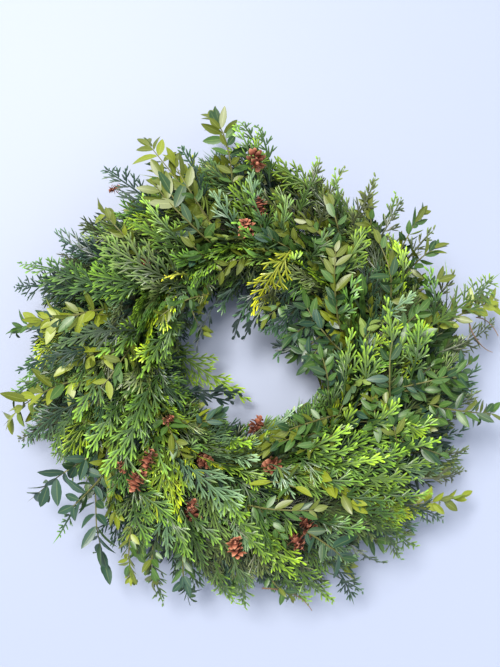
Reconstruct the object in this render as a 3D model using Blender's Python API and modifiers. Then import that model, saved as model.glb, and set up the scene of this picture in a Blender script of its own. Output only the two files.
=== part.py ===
"""A mixed evergreen wreath: arborvitae fronds, boxwood shoots and small cones, wired in
bunches onto a two-rail wire frame. It lies face up on the frame's rails.

The foliage grows in skins. Each skin is one curve in the ring's cross-section, from the
stems outwards or inwards, swept round the ring. The skins nest without touching, and the
blades on one skin lie side by side, all leaning the same way round. Metres, +Z up.
"""

import math
import random
from collections import namedtuple

import bmesh
import bpy
import numpy as np

# Wire frame: a 12 inch floral ring of two crimped rails. A crimp is at a share of each bunch's
# stretch, and True where the rail is raised.
RING_RADIUS = 0.140
RAIL_OFFSET = 0.013
RAIL_RADIUS = 0.0016
CRIMP_RISE = 0.0016
RAIL_CRIMPS = {0.03: True, 0.45: True, 0.57: False, 0.91: False}
TIE_PLACE = 0.74
TIE_RADIUS = 0.0010
TIE_HEIGHT = 0.0030
TIE_EVERY = 3

# Stem bundles and the wire that binds them to the rails
BUNCHES = 12
CORE_RADIUS = 0.0125
CORE_SIDES = 8
CORE_END_GAP = 0.0012
CORE_PROFILE = {0.0: 0.97, 0.10: 0.88, 0.38: 0.88, 0.50: 1.0, 0.71: 1.0, 0.92: 0.96, 1.0: 0.86}
ROOT_ZONE = (0.50, 0.92)
BIND_ZONE = (0.12, 0.34)
BIND_TURNS = 2
BIND_RADIUS = 0.0004
BIND_HEIGHT = 0.00078

# Foliage
SEAT_GAP = 0.0003
SHOOT_GAP = 0.0005
BLADE_THICKNESS = 0.0010
ROOT_SINK = 0.0035
SEED = 7
HEADING_JITTER = 0.04
CELL_FILL = 0.86
FROND_HALF_WIDTH = 0.040
FROND_BARE_SHARE = 0.22
FROND_TIP = 0.010
RIB_HALF_WIDTH = 0.0020
RIB_TAPER = 0.0008
FINGER_PITCH = 0.0135
FINGER_SLANT = 0.85
FINGER_DROOP = 0.10
FINGER_REACH = 1.15
SHOOT_BARE_SHARE = 0.27
SHOOT_HALF_WIDTH = 0.0012
LEAF_LENGTH = 0.026
LEAF_HALF_WIDTH = 0.0052
LEAF_BASE = 0.0036
LEAF_PITCH = 0.0155
LEAF_SLANT = math.radians(48)
LEAF_FOLD = 0.0030
CONE_LENGTH = 0.022
CONE_RADIUS = 0.0078
CONE_ROWS = 4
CONE_COLUMNS = 10
CONE_HOLLOW = 0.66

RAIL_APOTHEM = RAIL_RADIUS * math.cos(math.pi / 6)
RAIL_TOP = CRIMP_RISE + 2 * RAIL_APOTHEM
CORE_HEIGHT = RAIL_TOP + SEAT_GAP + CORE_RADIUS
BUNCH_PITCH = 2 * math.pi / BUNCHES

# Skins, as name: (root angle on the stems, bend, end, blades round the ring, lean in degrees).
# Bend and end are points of the cross-section: outwards from the ring, and height.
SKINS = {
    "skirt": (-2, (0.070, 0.026), (0.133, 0.011), 16, 33),
    "shoulder": (28, (0.062, 0.062), (0.123, 0.036), 15, 35),
    "cheek": (58, (0.044, 0.098), (0.104, 0.066), 13, 36),
    "crown": (104, (-0.048, 0.132), (0.072, 0.094), 12, 36),
    "collar": (140, (-0.050, 0.096), (-0.060, 0.060), 10, 28),
    "throat": (163, (-0.050, 0.050), (-0.068, 0.036), 10, 28),
    "lip": (187, (-0.045, 0.022), (-0.072, 0.011), 10, 30),
}

# Boxwood shoots, as (skin, angle where it shows, colour). The nearest blade place is used.
SHOOTS = [
    ("skirt", 14, "light"),
    ("skirt", 37, "dark"),
    ("skirt", 99, "light"),
    ("skirt", 166, "light"),
    ("skirt", 191, "light"),
    ("skirt", 216, "dark"),
    ("skirt", 236, "dark"),
    ("skirt", 258, "dark"),
    ("skirt", 325, "light"),
    ("skirt", 348, "dark"),
    ("shoulder", 4, "dark"),
    ("shoulder", 41, "dark"),
    ("shoulder", 135, "light"),
    ("shoulder", 293, "dark"),
    ("cheek", 20, "dark"),
    ("cheek", 52, "dark"),
    ("cheek", 112, "light"),
    ("cheek", 345, "dark"),
    ("crown", 0, "dark"),
    ("crown", 30, "dark"),
    ("crown", 62, "dark"),
    ("crown", 182, "light"),
    ("crown", 286, "light"),
    ("crown", 330, "dark"),
    ("collar", 2, "dark"),
    ("collar", 38, "dark"),
    ("collar", 260, "light"),
    ("throat", 18, "dark"),
    ("throat", 138, "light"),
    ("throat", 325, "dark"),
]

# Cones, as (skin, angle where it shows, share of the blade's length, how far beside its rib,
# how far it has settled between its fingers)
CONES = [
    ("crown", 88, 0.86, -0.006, 0.0004),
    ("crown", 88, 0.58, 0.000, 0.0003),
    ("crown", 88, 0.50, 0.018, 0.0000),
    ("throat", 268, 0.90, 0.000, 0.0003),
    ("crown", 268, 0.30, -0.006, 0.0011),
    ("crown", 238, 0.54, -0.018, 0.0019),
    ("crown", 238, 0.68, -0.021, 0.0006),
    ("cheek", 266, 0.30, -0.024, 0.0011),
    ("crown", 268, 0.84, -0.009, 0.0003),
    ("crown", 298, 0.32, 0.000, 0.0004),
    ("cheek", 294, 0.50, -0.006, 0.0016),
    ("cheek", 294, 0.52, -0.024, 0.0012),
]

# A spray that strays over the hole: where it leaves the stems, its tip, and its rise between
STRAY_ROOT = math.radians(165)
STRAY_SECTION = math.radians(172)
STRAY_TIP = (-0.005, -0.046, 0.020)
STRAY_RISE = 0.010
STRAY_GAP = 0.0009
STRAY_HALF_WIDTH = 0.015

COLOURS = {
    "arborvitae": (0.075, 0.190, 0.035),
    "boxwood_dark": (0.050, 0.125, 0.045),
    "boxwood_light": (0.240, 0.330, 0.060),
    "cone": (0.230, 0.075, 0.035),
    "frame_wire": (0.160, 0.170, 0.160),
    "binding_wire": (0.030, 0.100, 0.050),
}

Place = namedtuple("Place", "skin cell root heading bunch colour")


def clear_scene():
    for obj in list(bpy.data.objects):
        bpy.data.objects.remove(obj)


def new_collection(name):
    collection = bpy.data.collections.new(name)
    bpy.context.scene.collection.children.link(collection)
    return collection


def material(name, roughness, metallic=0.0):
    made = bpy.data.materials.new(name)
    made.use_nodes = True
    shader = made.node_tree.nodes["Principled BSDF"]
    shader.inputs["Base Color"].default_value = (*COLOURS[name], 1.0)
    shader.inputs["Roughness"].default_value = roughness
    shader.inputs["Metallic"].default_value = metallic
    made.diffuse_color = (*COLOURS[name], 1.0)
    return made


def ease(share):
    """0 to 1 with level ends."""
    share = min(max(share, 0.0), 1.0)
    return share * share * (3.0 - 2.0 * share)


def on_ring(ring_angle, out, height):
    radius = RING_RADIUS + out
    return radius * math.cos(ring_angle), radius * math.sin(ring_angle), height


def core_surface(ring_angle, section_angle):
    """How far the many-sided stem bundle reaches from its middle, in one direction of its section."""
    share = (ring_angle / BUNCH_PITCH) % 1.0
    thickness = float(np.interp(share, list(CORE_PROFILE), list(CORE_PROFILE.values())))
    side = 2 * math.pi / CORE_SIDES
    return CORE_RADIUS * thickness * math.cos(side / 2) / math.cos(section_angle % side - side / 2)


class Rib:
    """The middle line of one blade on a skin. It leaves the stems square to the ring, then leans on
    counter-clockwise. Distances along it are measured in the cross-section."""

    def __init__(self, skin, root, heading, reach_share=1.0, off_stems=-ROOT_SINK):
        root_deg, bend, end, self.cells, lean_deg = SKINS[skin]
        section_angle = math.radians(root_deg)
        start = core_surface(root, section_angle) + off_stems
        begin = (start * math.cos(section_angle), CORE_HEIGHT + start * math.sin(section_angle))
        t = np.linspace(0.0, 1.0, 121)[:, None]
        begin, bend, end = (np.array(point) for point in (begin, bend, end))
        self.curve = (1 - t) ** 2 * begin + 2 * t * (1 - t) * bend + t * t * end
        steps = np.linalg.norm(np.diff(self.curve, axis=0), axis=1)
        self.travel = np.concatenate([[0.0], np.cumsum(steps)])
        self.length = float(self.travel[-1])
        self.reach = self.length * reach_share
        self.side = 1.0 if end[0] > 0 else -1.0
        self.lean = math.tan(math.radians(lean_deg))
        self.root = root
        self.heading = heading

    def section(self, along):
        """(out, height, normal out, normal height) at a distance along, straight on past its ends."""
        step = 0.0005
        inside = min(max(along, step), self.length - step)
        before = np.array([np.interp(inside - step, self.travel, self.curve[:, i]) for i in (0, 1)])
        after = np.array([np.interp(inside + step, self.travel, self.curve[:, i]) for i in (0, 1)])
        tangent = (after - before) / (2 * step)
        out, height = (before + after) / 2 + tangent * (along - inside)
        return out, height, -tangent[1] * self.side, tangent[0] * self.side

    def angle(self, along):
        out = self.section(along)[0]
        drift = self.lean * along * ease(along / (0.5 * self.length))
        turn_in = (self.heading - self.root) * ease(along / (0.45 * self.length))
        return self.root + turn_in + drift / (RING_RADIUS + out)

    def point(self, along, forward=0.0, aside=0.0, lift=0.0):
        """A place set off from the rib by forward and aside, kept on the skin, then lifted off it."""
        step = 0.0005
        radius = RING_RADIUS + self.section(along)[0]
        turn = math.atan((self.angle(along + step) - self.angle(along - step)) / (2 * step) * radius)
        way = along + forward * math.cos(turn) - aside * math.sin(turn)
        across = forward * math.sin(turn) + aside * math.cos(turn)
        out, height, n_out, n_height = self.section(way)
        return on_ring(self.angle(along) + across / radius, out + lift * n_out, height + lift * n_height)

    def half_room(self, along):
        """Half the width that the blade may take at this distance, square to its leaning rib."""
        narrows = self.side < 0
        out = self.section(min(along * FINGER_REACH, self.length) if narrows else along)[0]
        room = math.pi / self.cells * (RING_RADIUS + out) * math.cos(math.atan(self.lean))
        return min(FROND_HALF_WIDTH, room * CELL_FILL)

    def cell_at(self, shown_deg):
        """The blade place whose middle shows nearest to an angle round the ring."""
        drift = self.angle(0.7 * self.length) - self.heading
        return round((math.radians(shown_deg) - drift) / (2 * math.pi / self.cells)) % self.cells


class StrayRib:
    """The middle line of the spray over the hole: straight in plan, with a low arch."""

    def __init__(self):
        start = core_surface(STRAY_ROOT, STRAY_SECTION) + STRAY_GAP
        rise = start * math.sin(STRAY_SECTION)
        self.begin = np.array(on_ring(STRAY_ROOT, start * math.cos(STRAY_SECTION), CORE_HEIGHT + rise))
        self.run = np.array(STRAY_TIP) - self.begin
        self.reach = float(np.linalg.norm(self.run))
        ahead = self.run / self.reach
        self.across = np.cross((0.0, 0.0, 1.0), ahead) / math.hypot(ahead[0], ahead[1])

    def point(self, along, forward=0.0, aside=0.0, lift=0.0):
        share = (along + forward) / self.reach
        up = np.array([0.0, 0.0, lift + STRAY_RISE * 4 * share * (1 - share)])
        return tuple(self.begin + self.run * share + self.across * aside + up)

    def half_room(self, along):
        return STRAY_HALF_WIDTH


def root_near(heading):
    """The place in a bunch's root zone that is nearest to a heading, and the bunch's number."""
    places = []
    for bunch in range(-1, BUNCHES + 1):
        low, high = ((bunch + share) * BUNCH_PITCH for share in ROOT_ZONE)
        place = min(max(heading, low), high)
        places.append((abs(place - heading), place, bunch % BUNCHES))
    return min(places)[1:]


def plan_places():
    """Every blade place on every skin. Its colour is a boxwood shade, or None for an arborvitae frond."""
    draw = random.Random(SEED)
    shades = {(skin, Rib(skin, 0.0, 0.0).cell_at(deg)): shade for skin, deg, shade in SHOOTS}
    places = []
    for skin in SKINS:
        pitch = 2 * math.pi / SKINS[skin][3]
        for cell in range(SKINS[skin][3]):
            heading = pitch * (cell + draw.uniform(-HEADING_JITTER, HEADING_JITTER))
            root, bunch = root_near(heading)
            places.append(Place(skin, cell, root, heading, bunch, shades.get((skin, cell))))
    return places


def mesh_object(name, vertices, faces, collection):
    mesh = bpy.data.meshes.new(name)
    mesh.from_pydata(vertices, [], faces)
    obj = bpy.data.objects.new(name, mesh)
    collection.objects.link(obj)
    return obj


def blade(name, vertices, faces, collection):
    """An open surface of triangles, given its thickness by Solidify."""
    obj = mesh_object(name, vertices, faces, collection)
    wall = obj.modifiers.new("thickness", "SOLIDIFY")
    wall.thickness = BLADE_THICKNESS
    wall.offset = 0.0
    return obj


def strip(left, right):
    """Triangles between two rows of points that run forward side by side."""
    faces = []
    for k in range(len(left) - 1):
        faces.append((right[k], right[k + 1], left[k]))
        faces.append((right[k + 1], left[k + 1], left[k]))
    return faces


def frond_outline(share):
    """Half width of a frond's fingered part: fullest at three tenths, then narrowing to the tip."""
    if share < 0.3:
        return 0.70 + 0.30 * ease((share + 0.1) / 0.4)
    return 1.0 - 0.62 * ((share - 0.3) / 0.7) ** 1.3


def frond(name, rib, draw, collection):
    """An arborvitae spray: a tapering rib with slanting, drooping fingers, alternating by side."""
    first = FROND_BARE_SHARE * rib.reach
    last = rib.reach - FROND_TIP
    teeth = max(3, round((last - first) / FINGER_PITCH))
    stagger = 0.25
    vertices, edges = [], {}

    def add(along, forward=0.0, aside=0.0, lift=0.0):
        vertices.append(rib.point(along, forward, aside, lift))
        return len(vertices) - 1

    for side in (1, -1):
        edges[side] = [add(along, aside=side * RIB_HALF_WIDTH) for along in (0.0, 0.55 * first)]
        for k in range(teeth + 1):
            share = (k + side * stagger) / teeth
            half = RIB_HALF_WIDTH - RIB_TAPER * max(share, 0.0)
            edges[side].append(add(first + (last - first) * share, aside=side * half))
    faces = strip(edges[1], edges[-1])
    faces.append((edges[-1][-1], add(rib.reach), edges[1][-1]))

    for side in (1, -1):
        for k in range(teeth):
            share = (k + 0.5 + side * stagger) / teeth
            along = first + (last - first) * share
            wide = rib.half_room(along) * frond_outline(share) * draw.uniform(0.9, 1.0)
            finger = add(along, FINGER_SLANT * wide, side * wide, -FINGER_DROOP * wide)
            low, high = edges[side][k + 2], edges[side][k + 3]
            faces.append((low, finger, high) if side < 0 else (high, finger, low))
    return blade(name, vertices, faces, collection)


def shoot(name, rib, collection):
    """A boxwood shoot: a narrow stem with pairs of opposite folded leaves, and one leaf at the tip."""
    first = SHOOT_BARE_SHARE * rib.reach
    last = rib.reach - LEAF_LENGTH
    pairs = 1 + max(1, int((last - first) / LEAF_PITCH))
    gap = (last - first) / (pairs - 1)
    vertices = []

    def add(along, forward=0.0, aside=0.0, lift=0.0):
        vertices.append(rib.point(along, forward, aside, lift))
        return len(vertices) - 1

    def side_leaf(along, low, high, side, length):
        """Two corners at the stem, the two widest, which stand above the midrib, and the tip."""
        half = LEAF_HALF_WIDTH * length / LEAF_LENGTH
        near, far, tip = (
            add(along, run * math.cos(LEAF_SLANT) + out * math.sin(LEAF_SLANT),
                side * (run * math.sin(LEAF_SLANT) - out * math.cos(LEAF_SLANT)), LEAF_FOLD)
            for run, out in ((0.5 * length, -half), (0.5 * length, half), (length, 0.0)))
        corners = ((low, near, tip), (low, tip, high), (high, tip, far))
        return [row if side < 0 else row[::-1] for row in corners]

    left, right = ([add(0.0, aside=side * SHOOT_HALF_WIDTH)] for side in (1, -1))
    for k in range(pairs):
        for end in (-0.5, 0.5):
            along = first + gap * k + end * LEAF_BASE
            left.append(add(along, aside=SHOOT_HALF_WIDTH))
            right.append(add(along, aside=-SHOOT_HALF_WIDTH))
    faces = strip(left, right)
    for k in range(pairs):
        along = first + gap * k
        length = min(LEAF_LENGTH, rib.half_room(along) * 1.12, LEAF_LENGTH * gap / LEAF_PITCH)
        faces += side_leaf(along, right[2 * k + 1], right[2 * k + 2], -1, length)
        faces += side_leaf(along, left[2 * k + 1], left[2 * k + 2], 1, length)

    heart = add(last + 0.15 * LEAF_LENGTH)
    near = add(last + 0.5 * LEAF_LENGTH, aside=LEAF_HALF_WIDTH)
    far = add(last + 0.5 * LEAF_LENGTH, aside=-LEAF_HALF_WIDTH)
    tip = add(rib.reach)
    rim = [right[-1], far, tip, near, left[-1]]
    faces += [(start, end, heart) for start, end in zip(rim, rim[1:] + rim[:1])]
    return blade(name, vertices, faces, collection)


def evaluated_mesh(obj):
    bpy.context.view_layer.update()
    graph = bpy.context.evaluated_depsgraph_get()
    return bpy.data.meshes.new_from_object(obj.evaluated_get(graph))


def tube(name, points, radius, sides, collection, cyclic=False, thickness=(), twist="Z_UP"):
    """A wire or stem along points, as a mesh with its caps welded on."""
    curve = bpy.data.curves.new(name, "CURVE")
    curve.dimensions = "3D"
    curve.twist_mode = twist
    curve.bevel_depth = radius
    curve.bevel_resolution = sides // 2 - 2
    curve.use_fill_caps = not cyclic
    spline = curve.splines.new("POLY")
    spline.points.add(len(points) - 1)
    for place, point in zip(spline.points, points):
        place.co = (*point, 1.0)
    for place, share in zip(spline.points, thickness):
        place.radius = share
    spline.use_cyclic_u = cyclic
    drawn = bpy.data.objects.new(name + "_curve", curve)
    collection.objects.link(drawn)
    mesh = evaluated_mesh(drawn)
    bpy.data.objects.remove(drawn)
    work = bmesh.new()
    work.from_mesh(mesh)
    bmesh.ops.remove_doubles(work, verts=work.verts, dist=1e-6)
    work.to_mesh(mesh)
    work.free()
    obj = bpy.data.objects.new(name, mesh)
    collection.objects.link(obj)
    return obj


def union_all(target, operands):
    """One Boolean union of the target with its operands, which are then removed."""
    collection = new_collection(target.name + "_operands")
    for operand in operands:
        operand.users_collection[0].objects.unlink(operand)
        collection.objects.link(operand)
    union = target.modifiers.new("union", "BOOLEAN")
    union.operation = "UNION"
    union.solver = "EXACT"
    union.operand_type = "COLLECTION"
    union.collection = collection
    mesh = evaluated_mesh(target)
    target.modifiers.clear()
    target.data = mesh
    mesh.materials.clear()
    for operand in operands:
        bpy.data.objects.remove(operand)
    bpy.data.collections.remove(collection)


def rail(name, out, collection):
    """A closed six-sided wire, flat on the surface under the foliage and raised where it is bound."""
    points = []
    for bunch in range(BUNCHES):
        for share, raised in RAIL_CRIMPS.items():
            height = RAIL_APOTHEM + (CRIMP_RISE if raised else 0.0)
            points.append(on_ring((bunch + share) * BUNCH_PITCH, out, height))
    return tube(name, points, RAIL_RADIUS, 6, collection, cyclic=True)


def wire_frame(collection):
    """Two rails joined by short ties, welded into one."""
    frame = rail("wire_frame", RAIL_OFFSET, collection)
    welded = [rail("inner_rail", -RAIL_OFFSET, collection)]
    for bunch in range(0, BUNCHES, TIE_EVERY):
        angle = (bunch + TIE_PLACE) * BUNCH_PITCH
        bpy.ops.mesh.primitive_cylinder_add(
            vertices=6, radius=TIE_RADIUS, depth=2 * RAIL_OFFSET + RAIL_RADIUS,
            location=on_ring(angle, 0.0, TIE_HEIGHT), rotation=(0.0, math.pi / 2, angle))
        welded.append(bpy.context.object)
    union_all(frame, welded)
    return frame


def binding_wire(collection):
    """One wire that winds round each bundle and both rails, then runs on under the ties to the next."""
    bound_span = (list(RAIL_CRIMPS)[1] - list(RAIL_CRIMPS)[0]) * BUNCH_PITCH
    rail_bow = (RING_RADIUS - RAIL_OFFSET) * (1 - math.cos(bound_span / 2))
    wide = RAIL_OFFSET + RAIL_RADIUS + rail_bow + 2 * BIND_RADIUS + SEAT_GAP
    snug = CORE_RADIUS * CORE_PROFILE[0.10] + BIND_RADIUS + SEAT_GAP
    corners = [2 * math.pi * k / CORE_SIDES for k in range(CORE_SIDES // 2 + 1)]
    over = [(snug * math.cos(corner), CORE_HEIGHT + snug * math.sin(corner)) for corner in corners]
    turn = [(wide, BIND_HEIGHT), *over, (-wide, BIND_HEIGHT)]
    points = []
    for bunch in range(BUNCHES):
        for step in range(BIND_TURNS * len(turn)):
            share = BIND_ZONE[0] + (BIND_ZONE[1] - BIND_ZONE[0]) * step / (BIND_TURNS * len(turn))
            points.append(on_ring((bunch + share) * BUNCH_PITCH, *turn[step % len(turn)]))
        if bunch < BUNCHES - 1:
            points.append(on_ring((bunch + TIE_PLACE) * BUNCH_PITCH, 0.0, BIND_HEIGHT))
    return tube("binding_wire", points, BIND_RADIUS, 4, collection, twist="MINIMUM")


def stem_core(name, bunch, collection):
    """The bundle of cut stems that one bunch lays along the rails, squeezed where it is bound."""
    gap = CORE_END_GAP / RING_RADIUS
    start, stretch = bunch * BUNCH_PITCH + gap, BUNCH_PITCH - 2 * gap
    points = [on_ring(start + stretch * share, 0.0, CORE_HEIGHT) for share in CORE_PROFILE]
    return tube(name, points, CORE_RADIUS, CORE_SIDES, collection, thickness=CORE_PROFILE.values())


def cone(name, rib, along, aside, settled, collection):
    """A small open cone that lies along a blade, on its rib or beside it on its drooping fingers.
    Rows of scale tips stand out between hollows."""
    drop = settled + FINGER_DROOP * max(0.0, abs(aside) - RIB_HALF_WIDTH)
    clear = BLADE_THICKNESS / 2 + SEAT_GAP + CONE_RADIUS - drop
    centre = np.array(rib.point(along, aside=aside, lift=clear))
    axis = np.array(rib.point(along, forward=0.004, aside=aside, lift=clear)) - centre
    axis /= np.linalg.norm(axis)
    up = np.array(rib.point(along, aside=aside, lift=clear + 0.004)) - centre
    up -= axis * (up @ axis)
    up /= np.linalg.norm(up)
    across = np.cross(up, axis)
    vertices = [centre - axis * CONE_LENGTH / 2]
    for row in range(CONE_ROWS):
        share = (row + 0.75) / (CONE_ROWS + 0.5)
        body = math.sin(math.pi * share ** 0.8) ** 0.6
        for column in range(CONE_COLUMNS):
            is_tip = (row + column) % 2 == 0
            wide = CONE_RADIUS * body * (1.0 if is_tip else CONE_HOLLOW)
            run = CONE_LENGTH * (share - 0.5 + (0.06 if is_tip else 0.0))
            angle = 2 * math.pi * (column + 0.5) / CONE_COLUMNS
            vertices.append(centre + axis * run + wide * (math.cos(angle) * across + math.sin(angle) * up))
    vertices.append(centre + axis * CONE_LENGTH / 2)
    rows = [range(1 + row * CONE_COLUMNS, 1 + (row + 1) * CONE_COLUMNS) for row in range(CONE_ROWS)]
    faces = []
    for column in range(CONE_COLUMNS):
        after = (column + 1) % CONE_COLUMNS
        faces.append((0, rows[0][after], rows[0][column]))
        faces.append((rows[-1][column], rows[-1][after], len(vertices) - 1))
        for low, high in zip(rows, rows[1:]):
            faces.append((low[column], low[after], high[after]))
            faces.append((low[column], high[after], high[column]))
    return mesh_object(name, vertices, faces, collection)


def centre_on_origin(collection):
    """Moves the middle of everything's plan over the origin. The rails already lie at height 0."""
    corners = []
    for obj in collection.objects:
        points = np.array([vertex.co for vertex in evaluated_mesh(obj).vertices])
        corners += [points.min(axis=0), points.max(axis=0)]
    middle = (np.min(corners, axis=0) + np.max(corners, axis=0)) / 2
    for obj in collection.objects:
        obj.location = (-middle[0], -middle[1], 0.0)


def build():
    clear_scene()
    parts = new_collection("arborvitae_wreath")
    wire_frame(parts).data.materials.append(material("frame_wire", 0.4, 0.9))
    binding_wire(parts).data.materials.append(material("binding_wire", 0.45, 0.6))
    green = material("arborvitae", 0.6)
    brown = material("cone", 0.8)
    leaf_greens = {shade: material("boxwood_" + shade, 0.4) for shade in ("dark", "light")}

    draw = random.Random(SEED)
    ribs = {}
    fronds = {bunch: [] for bunch in range(BUNCHES)}
    shoots = 0
    for place in plan_places():
        if place.colour is None:
            rib = Rib(place.skin, place.root, place.heading, draw.uniform(0.92, 1.0))
            fronds[place.bunch].append(frond("frond", rib, draw, parts))
        else:
            shoots += 1
            rib = Rib(place.skin, place.root, place.heading, draw.uniform(0.95, 1.0), SHOOT_GAP)
            made = shoot(f"boxwood_shoot_{shoots:02d}", rib, parts)
            made.data.materials.append(leaf_greens[place.colour])
        ribs[place.skin, place.cell] = rib
    for bunch in range(BUNCHES):
        core = stem_core(f"arborvitae_bunch_{bunch + 1:02d}", bunch, parts)
        union_all(core, fronds[bunch])
        core.data.materials.append(green)
    frond("arborvitae_stray_spray", StrayRib(), draw, parts).data.materials.append(green)

    for number, (skin, shown, share, aside, settled) in enumerate(CONES, 1):
        rib = ribs[skin, Rib(skin, 0.0, 0.0).cell_at(shown)]
        made = cone(f"cone_{number:02d}", rib, share * rib.length, aside, settled, parts)
        made.data.materials.append(brown)
    centre_on_origin(parts)


build()
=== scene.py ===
"""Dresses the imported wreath: fine arborvitae sprays, boxwood shoots, open cones, cut stems and wire.

Sprays and shoots follow the same skins and places as the solids that they stand for. A skin is one
curve in the ring's cross-section, swept round the ring. Metres, +Z up, the wreath lies face up.
"""

import math
import random

import bpy
import numpy as np
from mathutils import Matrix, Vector


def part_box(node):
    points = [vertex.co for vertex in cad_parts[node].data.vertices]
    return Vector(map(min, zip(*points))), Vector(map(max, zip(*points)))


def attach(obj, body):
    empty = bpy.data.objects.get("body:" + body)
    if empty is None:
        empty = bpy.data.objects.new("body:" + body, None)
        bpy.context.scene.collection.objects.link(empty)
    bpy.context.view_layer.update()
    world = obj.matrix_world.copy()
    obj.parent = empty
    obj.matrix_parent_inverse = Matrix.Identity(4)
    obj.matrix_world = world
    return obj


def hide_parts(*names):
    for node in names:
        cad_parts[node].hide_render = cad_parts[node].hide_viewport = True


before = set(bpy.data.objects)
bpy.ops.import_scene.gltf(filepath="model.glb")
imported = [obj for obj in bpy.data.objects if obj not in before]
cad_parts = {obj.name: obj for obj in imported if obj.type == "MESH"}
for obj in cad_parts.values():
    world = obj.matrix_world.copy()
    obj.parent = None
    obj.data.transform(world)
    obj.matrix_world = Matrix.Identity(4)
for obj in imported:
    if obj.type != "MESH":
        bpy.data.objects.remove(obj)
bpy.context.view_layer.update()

# The ring and its stem bundles, as the solids have them. Blades grow out of the core at CORE_SHARE of its
# radius, within the root zone of each bunch's pitch.
RING_RADIUS = 0.140
BUNCHES = 12
BUNCH_PITCH = 2 * math.pi / BUNCHES
CORE_RADIUS = 0.0125
CORE_HEIGHT = 0.01717
CORE_SHARE = 0.93
ROOT_ZONE = (0.50, 0.92)
HEADING_JITTER = 0.04
# Cut stems: one in the middle of a bundle and the rest in a ring round it
OUTER_STEMS = 8
STEM_RING = 0.0073

# Skins, as name: (root angle on the stems, bend, end, blades round the ring, lean in degrees)
SKINS = {
    "skirt": (-2, (0.070, 0.026), (0.133, 0.011), 16, 33),
    "shoulder": (28, (0.062, 0.062), (0.123, 0.036), 15, 35),
    "cheek": (58, (0.044, 0.098), (0.104, 0.066), 13, 36),
    "crown": (104, (-0.048, 0.132), (0.072, 0.094), 12, 36),
    "collar": (140, (-0.050, 0.096), (-0.060, 0.060), 10, 28),
    "throat": (163, (-0.050, 0.050), (-0.068, 0.036), 10, 28),
    "lip": (187, (-0.045, 0.022), (-0.072, 0.011), 10, 30),
}

# More ways for the fill to lie: along the crest between the crown and the collar
WAYS = {
    **SKINS,
    "crest": (122, (-0.052, 0.122), (-0.008, 0.108), 0, 50),
    "brow": (132, (-0.054, 0.110), (-0.044, 0.088), 0, 44),
}

# Boxwood shoots that stand for solids, as (skin, angle where it shows, colour)
SHOOTS = [
    ("skirt", 14, "light"), ("skirt", 37, "dark"), ("skirt", 99, "light"),
    ("skirt", 166, "light"), ("skirt", 191, "light"), ("skirt", 216, "dark"),
    ("skirt", 236, "dark"), ("skirt", 258, "dark"), ("skirt", 325, "light"),
    ("skirt", 348, "dark"), ("shoulder", 4, "dark"), ("shoulder", 41, "dark"),
    ("shoulder", 135, "light"), ("shoulder", 293, "dark"), ("cheek", 20, "dark"),
    ("cheek", 52, "dark"), ("cheek", 112, "light"), ("cheek", 345, "dark"),
    ("crown", 0, "dark"), ("crown", 30, "dark"), ("crown", 62, "dark"),
    ("crown", 182, "light"), ("crown", 286, "light"), ("crown", 330, "dark"),
    ("collar", 2, "dark"), ("collar", 38, "dark"), ("collar", 260, "light"),
    ("throat", 18, "dark"), ("throat", 138, "light"), ("throat", 325, "dark"),
]

# Fill layers, as (skin, next skin, share between them, how many round, added lean, lift, tint)
FILLS = [
    ("skirt", "shoulder", 0.25, 22, 2, 0.000, 0.16),
    ("skirt", "shoulder", 0.65, 24, 6, 0.000, 0.24),
    ("shoulder", "cheek", 0.50, 26, 8, 0.002, 0.34),
    ("cheek", "crown", 0.25, 22, 10, 0.003, 0.44),
    ("cheek", "crown", 0.55, 22, 14, 0.004, 0.48),
    ("cheek", "crown", 0.82, 20, 18, 0.003, 0.46),
    ("crown", "crest", 0.50, 20, 10, 0.002, 0.50),
    ("crest", "crest", 0.00, 20, 0, 0.003, 0.48),
    ("crest", "brow", 0.50, 18, 0, 0.003, 0.47),
    ("brow", "brow", 0.00, 18, 0, 0.003, 0.45),
    ("brow", "collar", 0.50, 16, 6, 0.002, 0.42),
    ("collar", "throat", 0.35, 17, 8, 0.000, 0.30),
    ("throat", "lip", 0.50, 15, 4, 0.000, 0.12),
    ("skirt", "shoulder", 0.45, 18, 4, 0.000, 0.20),
    ("shoulder", "cheek", 0.20, 20, 6, 0.002, 0.30),
    ("shoulder", "cheek", 0.80, 20, 8, 0.003, 0.40),
]
# Coarse dark sprays close to the stems, in the same order. Their near-black green is painted shade deep
# under the top growth.
UNDER_LAYERS = [
    ("skirt", "shoulder", 0.10, 20, 0, -0.008, 0.04),
    ("shoulder", "cheek", 0.10, 20, 0, -0.012, 0.06),
    ("cheek", "crown", 0.10, 18, 0, -0.014, 0.06),
    ("crown", "collar", 0.20, 16, 0, -0.014, 0.06),
    ("collar", "throat", 0.20, 14, 0, -0.008, 0.04),
]
# Short sprays and shoots that stand out of the rest, in the same order
TUFTS = [
    ("shoulder", "cheek", 0.60, 12, 2, 0.002, 0.36),
    ("cheek", "crown", 0.40, 13, 4, 0.002, 0.46),
    ("cheek", "crown", 0.75, 13, 6, 0.003, 0.50),
    ("crown", "crest", 0.60, 14, 0, 0.002, 0.50),
    ("crest", "brow", 0.50, 16, -4, 0.003, 0.48),
    ("brow", "collar", 0.60, 14, 0, 0.003, 0.42),
    ("collar", "throat", 0.40, 12, 4, 0.002, 0.30),
]
# Height of the top growth, by distance from the middle
DOME = ((0.055, 0.075, 0.095, 0.125, 0.155, 0.195, 0.215, 0.235, 0.255, 0.275),
        (0.058, 0.086, 0.098, 0.108, 0.113, 0.107, 0.097, 0.084, 0.058, 0.036))
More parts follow.
